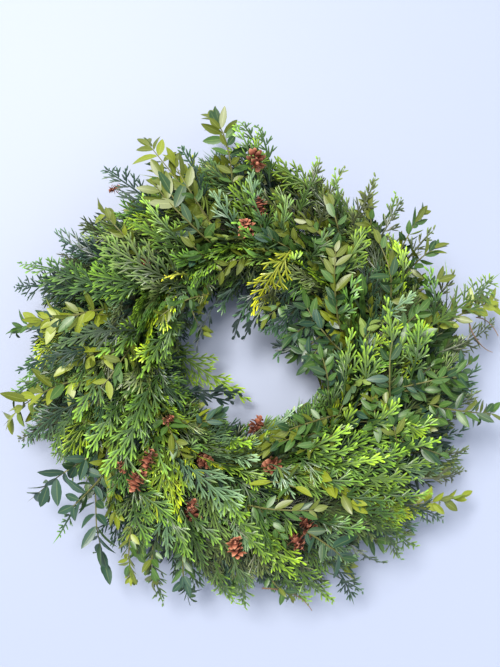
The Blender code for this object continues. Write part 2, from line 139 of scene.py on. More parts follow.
# Sprays laid on top, as (base x, base y, tip x, tip y, tint, half width), places and widths in mm
SHOWN_SPRAYS = [
    (-44, 146, -72, 214, 0.10, 14), (-77, 133, -151, 192, 0.10, 20), (-59, 102, -107, 154, 0.53, 14),
    (-55, 91, -120, 131, 0.53, 16), (-124, 89, -197, 120, 0.06, 22), (-50, 62, -145, 109, 0.34, 30),
    (-119, 49, -243, 96, 0.45, 20), (-85, 67, -171, 81, 0.49, 22), (-133, 39, -216, 76, 0.46, 20),
    (-64, -40, -5, -42, 0.00, 10), (-58, 81, -88, 72, 0.76, 7), (-28, 64, -56, 3, 0.00, 14),
    (1, 60, -16, 14, 0.00, 12), (24, 59, -6, 13, 0.00, 13), (-80, 35, -107, -21, 0.51, 16),
    (-109, 26, -147, -1, 0.49, 16), (-4, 117, -37, 162, 0.88, 16), (13, 137, 1, 181, 0.88, 14),
    (3, 178, -14, 236, 0.49, 14), (13, 162, 10, 233, 0.58, 12), (84, 62, 117, 121, 0.59, 20),
    (96, 137, 86, 183, 0.54, 9), (127, 120, 151, 165, 0.54, 9), (49, 137, 71, 199, 0.54, 12),
    (155, 61, 148, 109, 0.58, 12), (186, 29, 178, 82, 0.46, 13), (175, 21, 271, 89, 0.58, 22),
    (190, -1, 262, 37, 0.32, 18), (161, -31, 168, 33, 0.50, 18), (141, -41, 136, 48, 0.55, 16),
    (96, -48, 102, 24, 0.54, 17), (114, -50, 113, 9, 0.56, 15), (130, 31, 165, 56, 0.88, 14),
    (62, 7, 25, 9, 0.02, 13), (54, 26, 29, -5, 0.14, 12), (-100, 22, -188, 6, 0.20, 20),
    (-138, 6, -233, -20, 0.14, 18), (-125, -44, -158, -99, 0.50, 17), (-97, -48, -142, -117, 0.48, 20),
    (-164, -53, -193, -98, 0.52, 12), (-145, -14, -168, -66, 0.49, 16), (-85, -13, -115, -88, 0.49, 24),
    (-128, -87, -98, -128, 0.51, 14), (-95, -80, -79, -124, 0.49, 11), (-89, -93, -11, -155, 0.86, 28),
    (-126, -126, -69, -167, 0.48, 22), (-44, -119, 5, -184, 0.52, 16), (-61, -160, -26, -189, 0.49, 12),
    (-87, -150, -56, -203, 0.52, 13), (-116, -146, -99, -186, 0.48, 14),
    (-163, -142, -206, -199, 0.43, 9), (-92, -180, -88, -262, 0.36, 13), (-20, -194, -5, -260, 0.51, 15),
    (-36, -205, -13, -257, 0.53, 13), (-161, -48, -242, -90, 0.30, 16), (13, -82, 50, -54, 0.88, 13),
    (95, -76, 102, -55, 0.61, 11), (140, -66, 181, -91, 0.61, 12), (111, -80, 148, -50, 0.55, 13),
    (46, -105, 105, -93, 0.52, 12), (68, -117, 134, -105, 0.57, 13), (101, -109, 162, -95, 0.50, 13),
    (50, -126, 114, -128, 0.48, 13), (94, -126, 163, -127, 0.57, 13), (128, -117, 186, -110, 0.55, 12),
    (79, -140, 145, -147, 0.46, 13), (120, -138, 181, -140, 0.50, 12), (140, -99, 190, -86, 0.53, 11),
    (49, -100, 96, -76, 0.55, 14), (149, -152, 205, -174, 0.18, 15), (142, -172, 174, -200, 0.53, 12),
    (117, -161, 158, -214, 0.36, 14), (61, -165, 117, -174, 0.40, 14), (85, -151, 154, -161, 0.46, 14),
    (-1, -176, 49, -227, 0.57, 14), (-28, -144, 23, -205, 0.55, 14), (35, -203, 87, -256, 0.55, 15),
    (19, -202, 63, -260, 0.53, 15), (80, -206, 110, -262, 0.14, 15), (94, -186, 139, -214, 0.20, 13),
    (13, -192, 54, -207, 0.59, 11), (-24, -88, 3, -94, 0.55, 9), (191, -108, 225, -99, 0.30, 12),
    (170, -127, 223, -120, 0.30, 14), (81, -223, 119, -247, 0.16, 11), (13, 73, -12, 40, 0.10, 14),
    (36, 65, 10, 29, 0.14, 14), (55, 54, 20, 22, 0.10, 14), (-9, 75, -29, 44, 0.16, 12),
    (69, 36, 37, 12, 0.20, 12), (49, 112, 3, 46, 0.73, 22), (-75, 35, -83, 1, 0.50, 12),
    (-136, 53, -251, 71, 0.14, 20), (-143, -41, -230, -95, 0.16, 20), (-151, 1, -247, -46, 0.40, 18),
    (13, 206, -10, 247, 0.50, 13), (21, 116, 1, 158, 0.44, 11), (15, 99, -15, 130, 0.46, 11),
    (21, 175, 8, 240, 0.48, 12), (69, 119, 99, 189, 0.30, 15), (101, 125, 129, 179, 0.30, 13),
    (123, 99, 155, 156, 0.32, 15), (51, 150, 73, 199, 0.32, 13), (156, 87, 190, 126, 0.30, 13),
    (187, 51, 207, 82, 0.30, 12), (52, 85, 81, 123, 0.38, 15), (27, 103, 39, 156, 0.36, 15),
    (-66, -36, -14, -50, 0.00, 12), (22, 84, -2, 30, 0.06, 18), (44, 74, 16, 24, 0.08, 18),
    (62, 58, 34, 14, 0.10, 17), (72, 42, 46, 0, 0.12, 14), (34, 80, 8, 36, 0.30, 14),
]
# Shoots laid on top, as (base x, base y, tip x, tip y, shade, leaf size), places in mm
SHOWN_SHOOTS = [
    (75, 41, 35, 14, "dark", 0.80), (79, 23, 42, -3, "dark", 0.80), (75, 8, 60, -16, "dark", 0.72),
    (38, 60, 14, 35, "mid", 0.64), (-17, 173, -43, 265, "warm", 0.92),
    (-31, 124, -109, 226, "gold", 1.12), (-35, 109, -98, 172, "warm", 1.12),
    (-41, 137, -79, 199, "gold", 1.12), (-109, 101, -154, 150, "gold", 0.72),
    (-140, 37, -218, 28, "light", 0.96), (-136, 45, -203, 22, "light", 0.92),
    (-136, 29, -247, 21, "dark", 0.76), (-38, 63, -92, 32, "mid", 0.60), (-62, 54, -46, 18, "mid", 0.64),
    (94, 22, 87, 105, "warm", 0.84), (144, 49, 127, 113, "warm", 0.88), (103, 83, 51, 136, "warm", 0.68),
    (95, 111, 84, 152, "mid", 0.76), (123, 111, 118, 155, "warm", 0.68),
    (153, 99, 181, 148, "warm", 0.76), (159, 79, 196, 109, "warm", 0.72),
    (190, 25, 272, 60, "light", 0.88), (97, 0, 55, 54, "dark", 0.76), (82, -20, 50, 5, "dark", 0.72),
    (-151, -21, -264, -76, "light", 1.08), (-150, -99, -235, -156, "blue", 1.08),
    (-155, -135, -149, -221, "blue", 1.08), (-119, -174, -122, -240, "light", 0.64),
    (-66, -193, -61, -254, "dark", 0.68), (-96, -191, -97, -234, "mid", 0.68),
    (-57, -80, -26, -62, "blue", 0.64), (-120, 6, -146, -37, "light", 0.76),
    (-98, -50, -64, -107, "mid", 0.80), (95, -62, 15, -88, "mid", 0.80), (80, -80, 13, -95, "mid", 0.72),
    (105, -72, 50, -100, "mid", 0.64), (81, -43, 71, 3, "dark", 0.76), (142, -53, 142, 13, "dark", 0.92),
    (126, -87, 122, -39, "mid", 0.80), (150, -119, 133, -46, "mid", 0.80),
    (179, -52, 260, -61, "mid", 0.84), (147, -37, 214, -20, "dark", 0.84),
    (185, -37, 229, -6, "dark", 0.80), (160, -156, 228, -151, "light", 0.84),
    (-13, -150, 69, -155, "mid", 0.76), (56, -179, 97, -209, "blue", 1.08),
    (148, -88, 195, -104, "dark", 0.84), (171, 61, 195, 77, "warm", 0.80),
    (-38, 91, -63, 112, "mid", 0.72), (-146, -123, -182, -159, "blue", 0.96),
    (32, -129, 54, -135, "light", 1.12), (38, -131, 14, -128, "light", 0.96),
    (19, -226, 44, -248, "mid", 0.56), (-47, 118, -92, 186, "warm", 1.00),
]
# Small closed cones among the sprays, as (x, y, turn in degrees), places in mm
SMALL_CONES = ((-138, 167, 200), (-80, -68, 40), (-104, 90, 120), (-124, -115, 300), (-55, -150, 70))
# Bare twigs that stand out of the sprays, as (base x, base y, tip x, tip y, bow), all in mm
TWIGS = ((13, -235, 66, -268, 9), (223, 31, 256, 2, -8), (233, 36, 266, 20, 6))
# Greens run from 0 blue-green through 0.3 olive, 0.45 green and 0.6 bright to 0.74 yellow. From 0.86 to 0.92
# a spray shows its pale underside, and past that is bare wood. These are the solids' sprays, by skin.
TINTS = {"skirt": 0.16, "shoulder": 0.30, "cheek": 0.44, "crown": 0.48, "collar": 0.44,
         "throat": 0.28, "lip": 0.10}

# The wreath's limits: its hole, its furthest, highest and lowest tips, how far tips may pass the outline,
# how far the outermost skin reaches, and how closely outer blades follow the outline
HOLE_RADIUS = 0.066
OUTER_RADIUS = 0.279
TOP = 0.127
LOWEST_TIP = 0.0015
RIM_SLACK = 0.014
SKIRT_REACH = 0.133
OUTLINE_GRIP = 0.75
# Places where the hole is closer or wider, as (metres, middle angle, spread to either side)
HOLE_SHAPE = ((-0.014, 58, 58), (0.014, 332, 45))
# Growth loses a part of what is over this height, and none comes closer to the floor than a small gap
SETTLE_HEIGHT = 0.113
SETTLE_LOSS = 0.4
FLOOR_GAP = 0.003
# Radius of the fill's outer edge, as (angles in degrees, metres)
OUTLINE = ((0, 20, 30, 40, 60, 80, 90, 105, 120, 130, 140, 155, 170, 180, 190, 200, 210, 220, 235, 270, 320,
            340, 360),
           (0.236, 0.193, 0.187, 0.188, 0.188, 0.196, 0.232, 0.206, 0.204, 0.204, 0.220, 0.228, 0.230, 0.224,
            0.246, 0.232, 0.218, 0.224, 0.246, 0.256, 0.252, 0.240, 0.236))

# Sprays: half width, the pitch and size of side branches and fingers, and the last stretch of a branch, over
# which its fingers get shorter
SPRAY_HALF_WIDTH = 0.034
BRANCH_PITCH = 0.0052
BRANCH_STEPS = np.array([0.0, 0.18, 0.55, 0.90, 1.0])
FINGER_PITCH = 0.0046
FINGER_START = 0.0022
FINGER_END_GAP = 0.0015
FINGER_LENGTH = 0.0120
FINGER_HALF = 0.00088
FINGER_FADE = 0.016
FINGER_STEPS = np.array([0.0, 0.30, 0.78, 1.0])
AXIS_STATIONS = 9

# Boxwood leaves, with the ways along a leaf where its rings lie
LEAF_LENGTH = 0.0235
LEAF_HALF = 0.0046
LEAF_PITCH = 0.0100
LEAF_STEPS = np.array([0.10, 0.28, 0.50, 0.72, 0.90])
# Finish rows: 0 blue-green, 1 dark, 2 mid green, 3 olive, 4 yellow-green, 5 and 6 undersides, 7 stems
LEAF_ROWS = 8
STEM_ROW = 7.5
# Shades of shoots, as the rows that their leaves take, each row's share, and the row of young leaves
SHADES = {
    "dark": ((0.0, 1.0, 2.0), (0.30, 0.45, 0.25), 2.0),
    "blue": ((0.0, 1.0), (0.75, 0.25), None),
    "warm": ((1.0, 2.0, 3.0), (0.20, 0.42, 0.38), 3.0),
    "gold": ((2.0, 3.0, 4.0), (0.10, 0.75, 0.15), None),
    "mid": ((1.0, 2.0, 3.0), (0.25, 0.60, 0.15), 3.0),
    "light": ((2.0, 3.0, 4.0), (0.15, 0.45, 0.40), 4.0),
}

# Cones: the first few are half hidden, so sprays may come closer to them
CONES = 12
CONE_LENGTH = 0.0200
CONE_RADIUS = 0.0078
SMALL_CONE_LENGTH = 0.011
SMALL_CONE_RADIUS = 0.0045
SMALL_CONE_LIFT = 0.001
CONE_SCALES = 30
GOLDEN_ANGLE = math.radians(137.508)
CONE_CLEARANCE = 0.0078
CONE_DEPTH = 0.004
HALF_HIDDEN_CONES = 3
HIDDEN_CLEARANCE = 0.0022

# Stations of lines, and shares of a blade's length: where it has turned to its heading, where its lean
# is full, and where it is taken to show
CURVE_STATIONS = 81
SPINE_STATIONS = 25
TURN_DONE = 0.45
LEAN_FULL = 0.5
SHOWN_AT = 0.7

# Shares of a skin's whole length that its own blades, the fill and the dark sprays under it reach, and where
# tufts begin
BLADE_REACH = 0.97
FILL_REACH = (0.74, 1.0)
BELOW_REACH = (0.62, 0.78)
TUFT_START = (0.40, 0.60)
# Growth, as (shoots' sizes, sprays' widths by SPRAY_HALF_WIDTH, bare shares of a shoot and of a spray)
FILL_GROWTH = ((0.66, 0.90), (0.7, 1.0), (0.22, 0.12))
TUFT_GROWTH = ((0.60, 0.85), (0.5, 0.75), (0.08, 0.03))

# Laid sprays and shoots: how deep they start, their lift over the dome and its scatter, their bow, their
# roll and how much of the dome's slope they follow
LAID_DEPTH = 0.022
LAID_LIFT = 0.004
LAID_SCATTER = (-0.006, 0.007)
LAID_BOW = 0.07
LAID_ROLL = 0.24
SLOPE_SHARE = 0.6
SLOPE_STEP = 0.006
TWIG_LIFT = 0.002
TWIG_RADIUS = 0.0008

# Where the growth changes round the ring, as a middle angle or (middle angle, spread) in degrees
BOXWOOD_MIDDLE = 8
OLIVE_SPRAYS = (62, 62)
WARM_SHOOTS = (50, 65)
OLIVE_TINTS = (0.27, 0.34)
BRIGHT_TINTS = (0.56, 0.70)
PALE_TINT = 0.88
STEM_TINT = 0.96

# The spray that strays over the hole: where it leaves the stems, its tip, its arch and its size
STRAY_SECTION = math.radians(172)
STRAY_ROOT = math.radians(165)
STRAY_TIP = (-0.005, -0.046, 0.020)
STRAY_ARCH = 0.010
STRAY_HALF_WIDTH = 0.024
STRAY_TINT = 0.60

# Wires, as (coat, colour where it is worn)
VARNISH = ((0.06, 0.08, 0.06), (0.30, 0.28, 0.24))
ENAMEL = ((0.02, 0.10, 0.04), (0.18, 0.20, 0.15))

# The floor, the sky and the lamps, as (name, place, strength, spread in degrees, colour)
FLOOR_SIDE = 6.0
FLOOR_DROP = 0.0002
FLOOR_COLOUR = (0.252, 0.284, 0.372, 1.0)
SKY_COLOUR = (0.80, 0.87, 1.0, 1.0)
SKY_STRENGTH = 0.69
LAMPS = (("key", (-0.45, 0.58, 1.5), 6.3, 24, (1.0, 0.965, 0.92)),
         ("fill", (0.9, -0.5, 1.6), 1.2, 60, (0.90, 0.95, 1.0)))

# The camera
CAMERA_TARGET = (0.0, 0.0255, 0.045)
CAMERA_DISTANCE = 0.90
CAMERA_ELEVATION = math.radians(85)
SENSOR_WIDTH = 36.0
LENS = 45.4

# Every piece's finish map, the angle past which an edge is sharp, and millimetres in a metre
FINISH_MAP = "OFBake"
CREASE = math.radians(42)
MM = 1000
# The seed of every draw, and the number that each kind of growth adds to it
SEED = 7
STEMS, BLADES, FILL, BELOW, TUFT, LAID_SPRAY, LAID_SHOOT = 1, 2, 3, 4, 6, 7, 8


def ease(share):
    """0 to 1 with level ends: 3 s squared less 2 s cubed."""
    share = np.clip(share, 0.0, 1.0)
    return share * share * (3.0 - 2.0 * share)


def unit(rows):
    """Rows as vectors of length one."""
    return rows / np.maximum(np.linalg.norm(rows, axis=-1, keepdims=True), 1e-12)


def travelled(points):
    """The way along a line from its first point to each of its points."""
    steps = np.linalg.norm(np.diff(points, axis=0), axis=1)
    return np.concatenate([[0.0], np.cumsum(steps)])


class Spine:
    """A bent middle line with its frame: ahead, across and up at each of its stations."""

    def __init__(self, points, ups, roll=0.0):
        self.points = points
        self.travel = travelled(points)
        self.length = float(self.travel[-1])
        self.ahead = unit(np.gradient(points, axis=0))
        across = unit(np.cross(ups, self.ahead))
        up = np.cross(self.ahead, across)
        turn = np.broadcast_to(roll, len(points))[:, None]
        self.across = np.cos(turn) * across + np.sin(turn) * up
        self.up = np.cos(turn) * up - np.sin(turn) * across

    def read(self, rows, x):
        """The rows' values at ways x along the line."""
        return np.stack([np.interp(x, self.travel, rows[:, axis]) for axis in range(3)], axis=-1)

    def put(self, x, y, z):
        """Carries plan places (along, across, above) onto the line, its frame read between stations."""
        place = self.read(self.points, x)
        past = (x - np.clip(x, 0.0, self.length))[..., None]
        place = place + self.read(self.ahead, x) * past
        return place + self.read(self.across, x) * y[..., None] + self.read(self.up, x) * z[..., None]


def skin_between(first, second, share):
    """The values of a skin that lies between two skins."""
    pairs = zip(WAYS[first], WAYS[second])
    return tuple(np.array(a) * (1 - share) + np.array(b) * share for a, b in pairs)


def section_curve(begin, bend, end):
    """A quadratic curve in the ring's cross-section, and the way along it at each point."""
    t = np.linspace(0.0, 1.0, CURVE_STATIONS)[:, None]
    curve = (1 - t) ** 2 * begin + 2 * t * (1 - t) * np.array(bend) + t * t * np.array(end)
    return curve, travelled(curve)


def skin_spine(values, root, heading, reach_share=1.0, more_lean=0.0, lift=0.0, roll=0.0, start_share=0.0):
    """A blade's middle line on a skin: a quadratic curve in the cross-section, carried round the ring by
    the turn to its heading and then by its lean. Lift raises it off the skin towards its tip, and a start
    share keeps only the part of the line that is past it."""
    root_deg, bend, end, _, lean_deg = values
    section_angle = math.radians(root_deg)
    begin = CORE_RADIUS * CORE_SHARE * np.array([math.cos(section_angle), math.sin(section_angle)])
    begin[1] += CORE_HEIGHT
    curve, travel = section_curve(begin, bend, end)
    whole = travel[-1]
    along = np.linspace(whole * start_share, whole * reach_share, SPINE_STATIONS)
    out, height = (np.interp(along, travel, curve[:, axis]) for axis in (0, 1))
    slope = unit(np.stack([np.gradient(out), np.gradient(height)], axis=1))
    side = 1.0 if end[0] > 0 else -1.0
    raised = lift * ease(along / whole)
    out = out - slope[:, 1] * side * raised
    height = height + slope[:, 0] * side * raised
    lean = math.tan(math.radians(lean_deg + more_lean))
    drift = lean * along * ease(along / (LEAN_FULL * whole)) / (RING_RADIUS + out)
    angle = root + (heading - root) * ease(along / (TURN_DONE * whole)) + drift
    radius = RING_RADIUS + out
    points = np.stack([radius * np.cos(angle), radius * np.sin(angle), height], axis=1)
    outward = np.stack([np.cos(angle), np.sin(angle), 0.0 * angle], axis=1)
    ups = -slope[:, 1:] * side * outward + slope[:, :1] * side * np.array([0.0, 0.0, 1.0])
    return Spine(points + ring_centre, ups, roll)


def shown_drift(values):
    """The angle past its heading at which a blade shows."""
    _, bend, end, _, lean_deg = values
    curve, travel = section_curve(np.array([CORE_RADIUS, CORE_HEIGHT]), bend, end)
    out = np.interp(SHOWN_AT * travel[-1], travel, curve[:, 0])
    return math.tan(math.radians(lean_deg)) * SHOWN_AT * travel[-1] / (RING_RADIUS + out)


def root_near(heading):
    """The place in a bunch's root zone that is nearest to a heading, and the bunch's number."""
    places = []
    for bunch in range(-1, BUNCHES + 2):
        low, high = ((bunch + share) * BUNCH_PITCH for share in ROOT_ZONE)
        place = min(max(heading, low), high)
        places.append((abs(place - heading), place, bunch % BUNCHES))
    return min(places)[1:]


def bunch_at(x, y):
    """The number of the bunch over which a place lies."""
    return int((math.atan2(y, x) / BUNCH_PITCH) % BUNCHES)


def wrap_deg(angle):
    """An angle as degrees from -180 to 180."""
    return (angle + 180) % 360 - 180


def settled(height):
    """Height of growth that has sunk a little: it loses SETTLE_LOSS of what is over SETTLE_HEIGHT, and what
    would pass under FLOOR_GAP ends above the floor, at the gap times an exponential of its depth."""
    sunk = height - SETTLE_LOSS * np.maximum(height - SETTLE_HEIGHT, 0)
    return np.where(sunk > FLOOR_GAP, sunk, FLOOR_GAP * np.exp(np.minimum(sunk / FLOOR_GAP - 1.0, 0.0)))


class Heap:
    """Points, triangles and finish places gathered from many small shapes, made one piece at the end."""

    def __init__(self):
        self.points, self.corners, self.places, self.count = [], [], [], 0

    def add(self, points, corners, places):
        """Points (n, 3), corners (m, 3), and places as (n, 2) by point or (m, 3, 2) by corner."""
        self.points.append(points)
        self.corners.append(corners + self.count)
        self.places.append(places if places.ndim == 3 else places[corners])
        self.count += len(points)

    def piece(self, name, finish, settles=True):
        """One object of the whole heap, in the finish given, with its heights settled unless told not to."""
        points, corners, places = (np.concatenate(rows) for rows in (self.points, self.corners, self.places))
        if settles:
            points[:, 2] = settled(points[:, 2])
        mesh = bpy.data.meshes.new(name)
        mesh.vertices.add(len(points))
        mesh.vertices.foreach_set("co", points.astype(np.float32).ravel())
        mesh.loops.add(corners.size)
        mesh.loops.foreach_set("vertex_index", corners.astype(np.int32).ravel())
        mesh.polygons.add(len(corners))
        mesh.polygons.foreach_set("loop_start", np.arange(0, corners.size, 3, dtype=np.int32))
        mesh.polygons.foreach_set("use_smooth", np.ones(len(corners), bool))
        mesh.update(calc_edges=True)
        layer = mesh.uv_layers.new(name=FINISH_MAP)
        layer.uv.foreach_set("vector", places.astype(np.float32).ravel())
        mesh.validate()
        mesh.set_sharp_from_angle(angle=CREASE)
        mesh.materials.append(finish)
        obj = bpy.data.objects.new(name, mesh)
        bpy.context.scene.collection.objects.link(obj)
        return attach(obj, "root")


def repeat_faces(pattern, copies, stride):
    """The same faces for each copy of a shape that has stride points."""
    shifts = stride * np.arange(copies)[:, None, None]
    return (np.asarray(pattern)[None] + shifts).reshape(-1, 3)


def spindle_faces(rings):
    """Faces of a three-sided body: a base point, rings of right, left and top points, then a tip point."""
    right, left, top = 1, 2, 3
    faces = [(0, right, top), (0, top, left), (0, left, right)]
    for ring in range(rings - 1):
        r, l, t = (3 * ring + corner for corner in (right, left, top))
        far_r, far_l, far_t = r + 3, l + 3, t + 3
        faces += [(r, far_r, far_t), (r, far_t, t), (l, t, far_t), (l, far_t, far_l)]
        faces += [(r, l, far_l), (r, far_l, far_r)]
    r, l, t = (3 * (rings - 1) + corner for corner in (right, left, top))
    tip = 3 * rings + 1
    return faces + [(tip, t, r), (tip, l, t), (tip, r, l)]


def spindles(heap, spine, lines, half, youth_and_shade, tint, kept=slice(None), ridge=0.55):
    """Slender three-sided bodies, one to a kept row of centre-line stations. The first and last station are
    points, and each one between is a ring set off by half a width to both sides, with its ridge above."""
    x, y, z = (line[kept] for line in lines)
    half, youth_and_shade, tint = half[kept], youth_and_shade[kept], tint[kept]
    rows, stations = x.shape
    if rows == 0:
        return
    dx, dy = np.gradient(x, axis=1), np.gradient(y, axis=1)
    long = np.hypot(dx, dy) + 1e-12
    inner = slice(1, stations - 1)
    cross_x, cross_y = -dy[:, inner] / long[:, inner], dx[:, inner] / long[:, inner]
    flat = []
    for side, above in ((-1, -0.25), (1, -0.25), (0, ridge)):
        flat.append((x[:, inner] + side * half * cross_x, y[:, inner] + side * half * cross_y,
                     z[:, inner] + above * half))
    plan = []
    for axis, line in enumerate((x, y, z)):
        rings = np.stack([corner[axis] for corner in flat], axis=2).reshape(rows, -1)
        plan.append(np.concatenate([line[:, :1], rings, line[:, -1:]], axis=1))
    sway = np.tile([-0.012, 0.012, 0.004], stations - 2)
    v = tint[:, None] + np.concatenate([[0.0], sway, [0.0]])
    u = np.concatenate([youth_and_shade[:, :1], np.repeat(youth_and_shade[:, inner], 3, axis=1), youth_and_shade[:, -1:]], axis=1)
    u = u + 0.004 * np.concatenate([[0.0], np.tile([0, 1, 2], stations - 2), [0.0]])
    points = spine.put(*(axis.ravel() for axis in plan))
    faces = repeat_faces(spindle_faces(stations - 2), rows, plan[0].shape[1])
    heap.add(points, faces, np.stack([u.ravel(), v.ravel()], axis=1))


def spray_outline(share):
    """Half width of a spray along it: widest at three tenths, narrowing to a short-fingered tip."""
    return np.where(share < 0.3, 0.50 + 0.50 * ease((share + 0.1) / 0.4),
                    1.0 - 0.78 * np.clip((share - 0.3) / 0.7, 0.0, 1.0) ** 1.15)


def hump(angle_deg, middle, spread):
    """1 at the middle angle, falling smoothly to 0 at a spread to either side."""
    return 1.0 - ease(np.abs(wrap_deg(angle_deg - middle)) / spread)


def hole_radius(angle_deg):
    """The hole as the photograph shows it: closer at its upper right, wider at its lower right."""
    radius = HOLE_RADIUS
    for change, middle, spread in HOLE_SHAPE:
        radius = radius + change * hump(angle_deg, middle, spread)
    return radius


def outline_radius(angle_deg):
    """How far the fill reaches by angle, read between the stations of the outline."""
    return np.interp(np.mod(angle_deg, 360.0), *OUTLINE)


def share_kept(values, shown_deg):
    """The share of its length that a blade keeps: all of it inside the ring, and outside it a share that
    follows the outline where the blade shows."""
    _, _, end, _, _ = values
    if end[0] <= 0:
        return 1.0
    return 1.0 - OUTLINE_GRIP * (1.0 - (outline_radius(shown_deg) - RING_RADIUS) / SKIRT_REACH)


def kept_rows(tips, trim=True):
    """Which tips stay within the wreath's size and off the cones, and where they are trimmed, also out of
    the hole and near the outline."""
    plan = tips - ring_centre
    angle = np.degrees(np.arctan2(plan[:, 1], plan[:, 0]))
    reach = np.hypot(plan[:, 0], plan[:, 1])
    kept = (reach < OUTER_RADIUS) & (tips[:, 2] > LOWEST_TIP) & (tips[:, 2] < TOP)
    if trim:
        kept &= (reach > hole_radius(angle)) & (reach < outline_radius(angle) + RIM_SLACK)
    for number, spot in enumerate(cone_spots):
        clearance = HIDDEN_CLEARANCE if number < HALF_HIDDEN_CONES else CONE_CLEARANCE
        near = np.hypot(tips[:, 0] - spot[0], tips[:, 1] - spot[1]) < clearance
        kept &= ~(near & (tips[:, 2] > spot[2] - CONE_DEPTH))
    return kept


def spray(heap, spine, half_width, tint, rng, bare=0.12, tips=1.0, coarse=1.0, trim=True):
    """An arborvitae spray: an axis, side branches in turn left and right that bend forwards, and on each
    branch two rows of fingers, slender in grown sprays and short and blunt in bright young ones. Youth runs
    from the hidden base to the bright tips, and the dark hidden base is also painted shade. The share given
    as bare has no branches."""
    nubby = float(0.5 < tint < 0.8)
    tips = tips * rng.uniform(0.72, 1.04)
    length = spine.length
    first = bare * length
    count = max(5, int((length - first) / (BRANCH_PITCH * coarse)))
    k = np.arange(count)
    share = (k + 0.3 + rng.uniform(0, 0.5, count)) / count
    at = first + (length - first) * share
    side = np.where(k % 2 == 0, 1.0, -1.0)
    slant = np.radians(46 - 14 * share) + rng.normal(0, 0.05, count)
    reach = half_width * spray_outline(share) / np.sin(slant) * rng.uniform(0.62, 1.10, count)
    reach = reach * np.where(rng.uniform(size=count) < 0.10, 0.55, 1.0)
    bend = rng.uniform(0.05, 0.32, count)
    droop = rng.uniform(0.00, 0.16)
    lift = rng.normal(0.0, 0.06, count)

    def branch_place(owner, s):
        turn = bend[owner] * s * s / reach[owner] / 2
        x = at[owner] + s * np.cos(slant[owner]) + turn * np.sin(slant[owner])
        y = side[owner] * (s * np.sin(slant[owner]) - turn * np.cos(slant[owner]))
        return x, y, (lift[owner] - droop) * np.abs(y)

    owner = np.repeat(k[:, None], len(BRANCH_STEPS), axis=1)
    lines = branch_place(owner, reach[:, None] * BRANCH_STEPS)
    middles, ends = (spine.put(*(line[:, station] for line in lines)) for station in (2, -1))
    kept = kept_rows(ends, trim) & kept_rows(middles, trim)
    young = 0.50 * share[:, None] + 0.50 * BRANCH_STEPS
    half = FINGER_HALF * coarse * np.array([0.95, 1.05, 0.80])[None] * np.ones((count, 1))
    colour = tint + rng.normal(0, 0.012, count)
    spindles(heap, spine, lines, half, 0.08 + 0.84 * tips * young, colour, kept)

    x = np.linspace(0.0, length, AXIS_STATIONS)[None]
    half = FINGER_HALF * np.linspace(1.35, 0.9, AXIS_STATIONS - 2)[None]
    spindles(heap, spine, (x, 0 * x, 0 * x), half, 0.05 + 0.7 * tips * x / length, np.array([tint]))

    step = FINGER_PITCH * coarse
    many = np.maximum(0, ((reach - FINGER_START - FINGER_END_GAP) / step).astype(int))
    owner = np.repeat(k, many)
    order = np.arange(len(owner)) - np.repeat(np.cumsum(many) - many, many)
    s = FINGER_START + step * (order + rng.uniform(-0.2, 0.2, len(owner)))
    left = reach[owner] - s
    forward = order % 2 == 0
    slant_here = slant[owner] - bend[owner] * s / reach[owner]
    spread = np.radians(rng.normal(24 + 4 * nubby, 4, len(owner)))
    heading = side[owner] * np.where(forward, slant_here - spread, slant_here + spread)
    long = FINGER_LENGTH * (1.05 - 0.10 * nubby) * coarse ** 0.5 * np.where(forward, 1.0, 0.80)
    long = long * (0.50 + 0.50 * np.clip(left / FINGER_FADE, 0, 1)) * rng.uniform(0.85, 1.25, len(owner))
    bx, by, bz = branch_place(owner, s)
    run = long[:, None] * FINGER_STEPS
    rise = rng.normal(0.02, 0.10, len(owner))
    x = bx[:, None] + run * np.cos(heading)[:, None]
    y = by[:, None] + run * np.sin(heading)[:, None]
    z = bz[:, None] + run * rise[:, None] + rng.uniform(-0.0003, 0.0003, len(owner))[:, None]
    young = 0.26 * share[owner][:, None] + 0.14 * (s / reach[owner])[:, None] + 0.60 * FINGER_STEPS
    ends_half = 0.85 + 0.15 * nubby
    half = FINGER_HALF * coarse * np.array([0.98, 0.80 * ends_half])
    half = half * rng.uniform(0.82, 1.15, (len(owner), 1)) * (0.92 + 0.25 * share[owner][:, None])
    ends = spine.put(x[:, -1], y[:, -1], z[:, -1])
    kept = kept_rows(ends, trim) & kept[owner]
    colour = tint + rng.normal(0, 0.014, len(owner))
    spindles(heap, spine, (x, y, z), half, 0.06 + 0.90 * tips * young, colour, kept)


def blade_faces():
    """Faces of a thin leaf: a base point, rings of right rim, midrib, left rim and underside, then a tip.
    Gives the faces of its upper side and those of its underside."""
    upper, under = [(0, 1, 2), (0, 2, 3)], [(0, 4, 1), (0, 3, 4)]
    for ring in range(len(LEAF_STEPS) - 1):
        r, m, l, b = (4 * ring + corner for corner in (1, 2, 3, 4))
        far_r, far_m, far_l, far_b = r + 4, m + 4, l + 4, b + 4
        upper += [(r, far_r, far_m), (r, far_m, m), (m, far_m, far_l), (m, far_l, l)]
        under += [(r, b, far_b), (r, far_b, far_r), (b, l, far_l), (b, far_l, far_b)]
    r, m, l, b = (4 * (len(LEAF_STEPS) - 1) + corner for corner in (1, 2, 3, 4))
    tip = 4 * len(LEAF_STEPS) + 1
    upper += [(tip, m, r), (tip, l, m)]
    under += [(tip, r, b), (tip, b, l)]
    return upper, under


UPPER_FACES, UNDER_FACES = blade_faces()


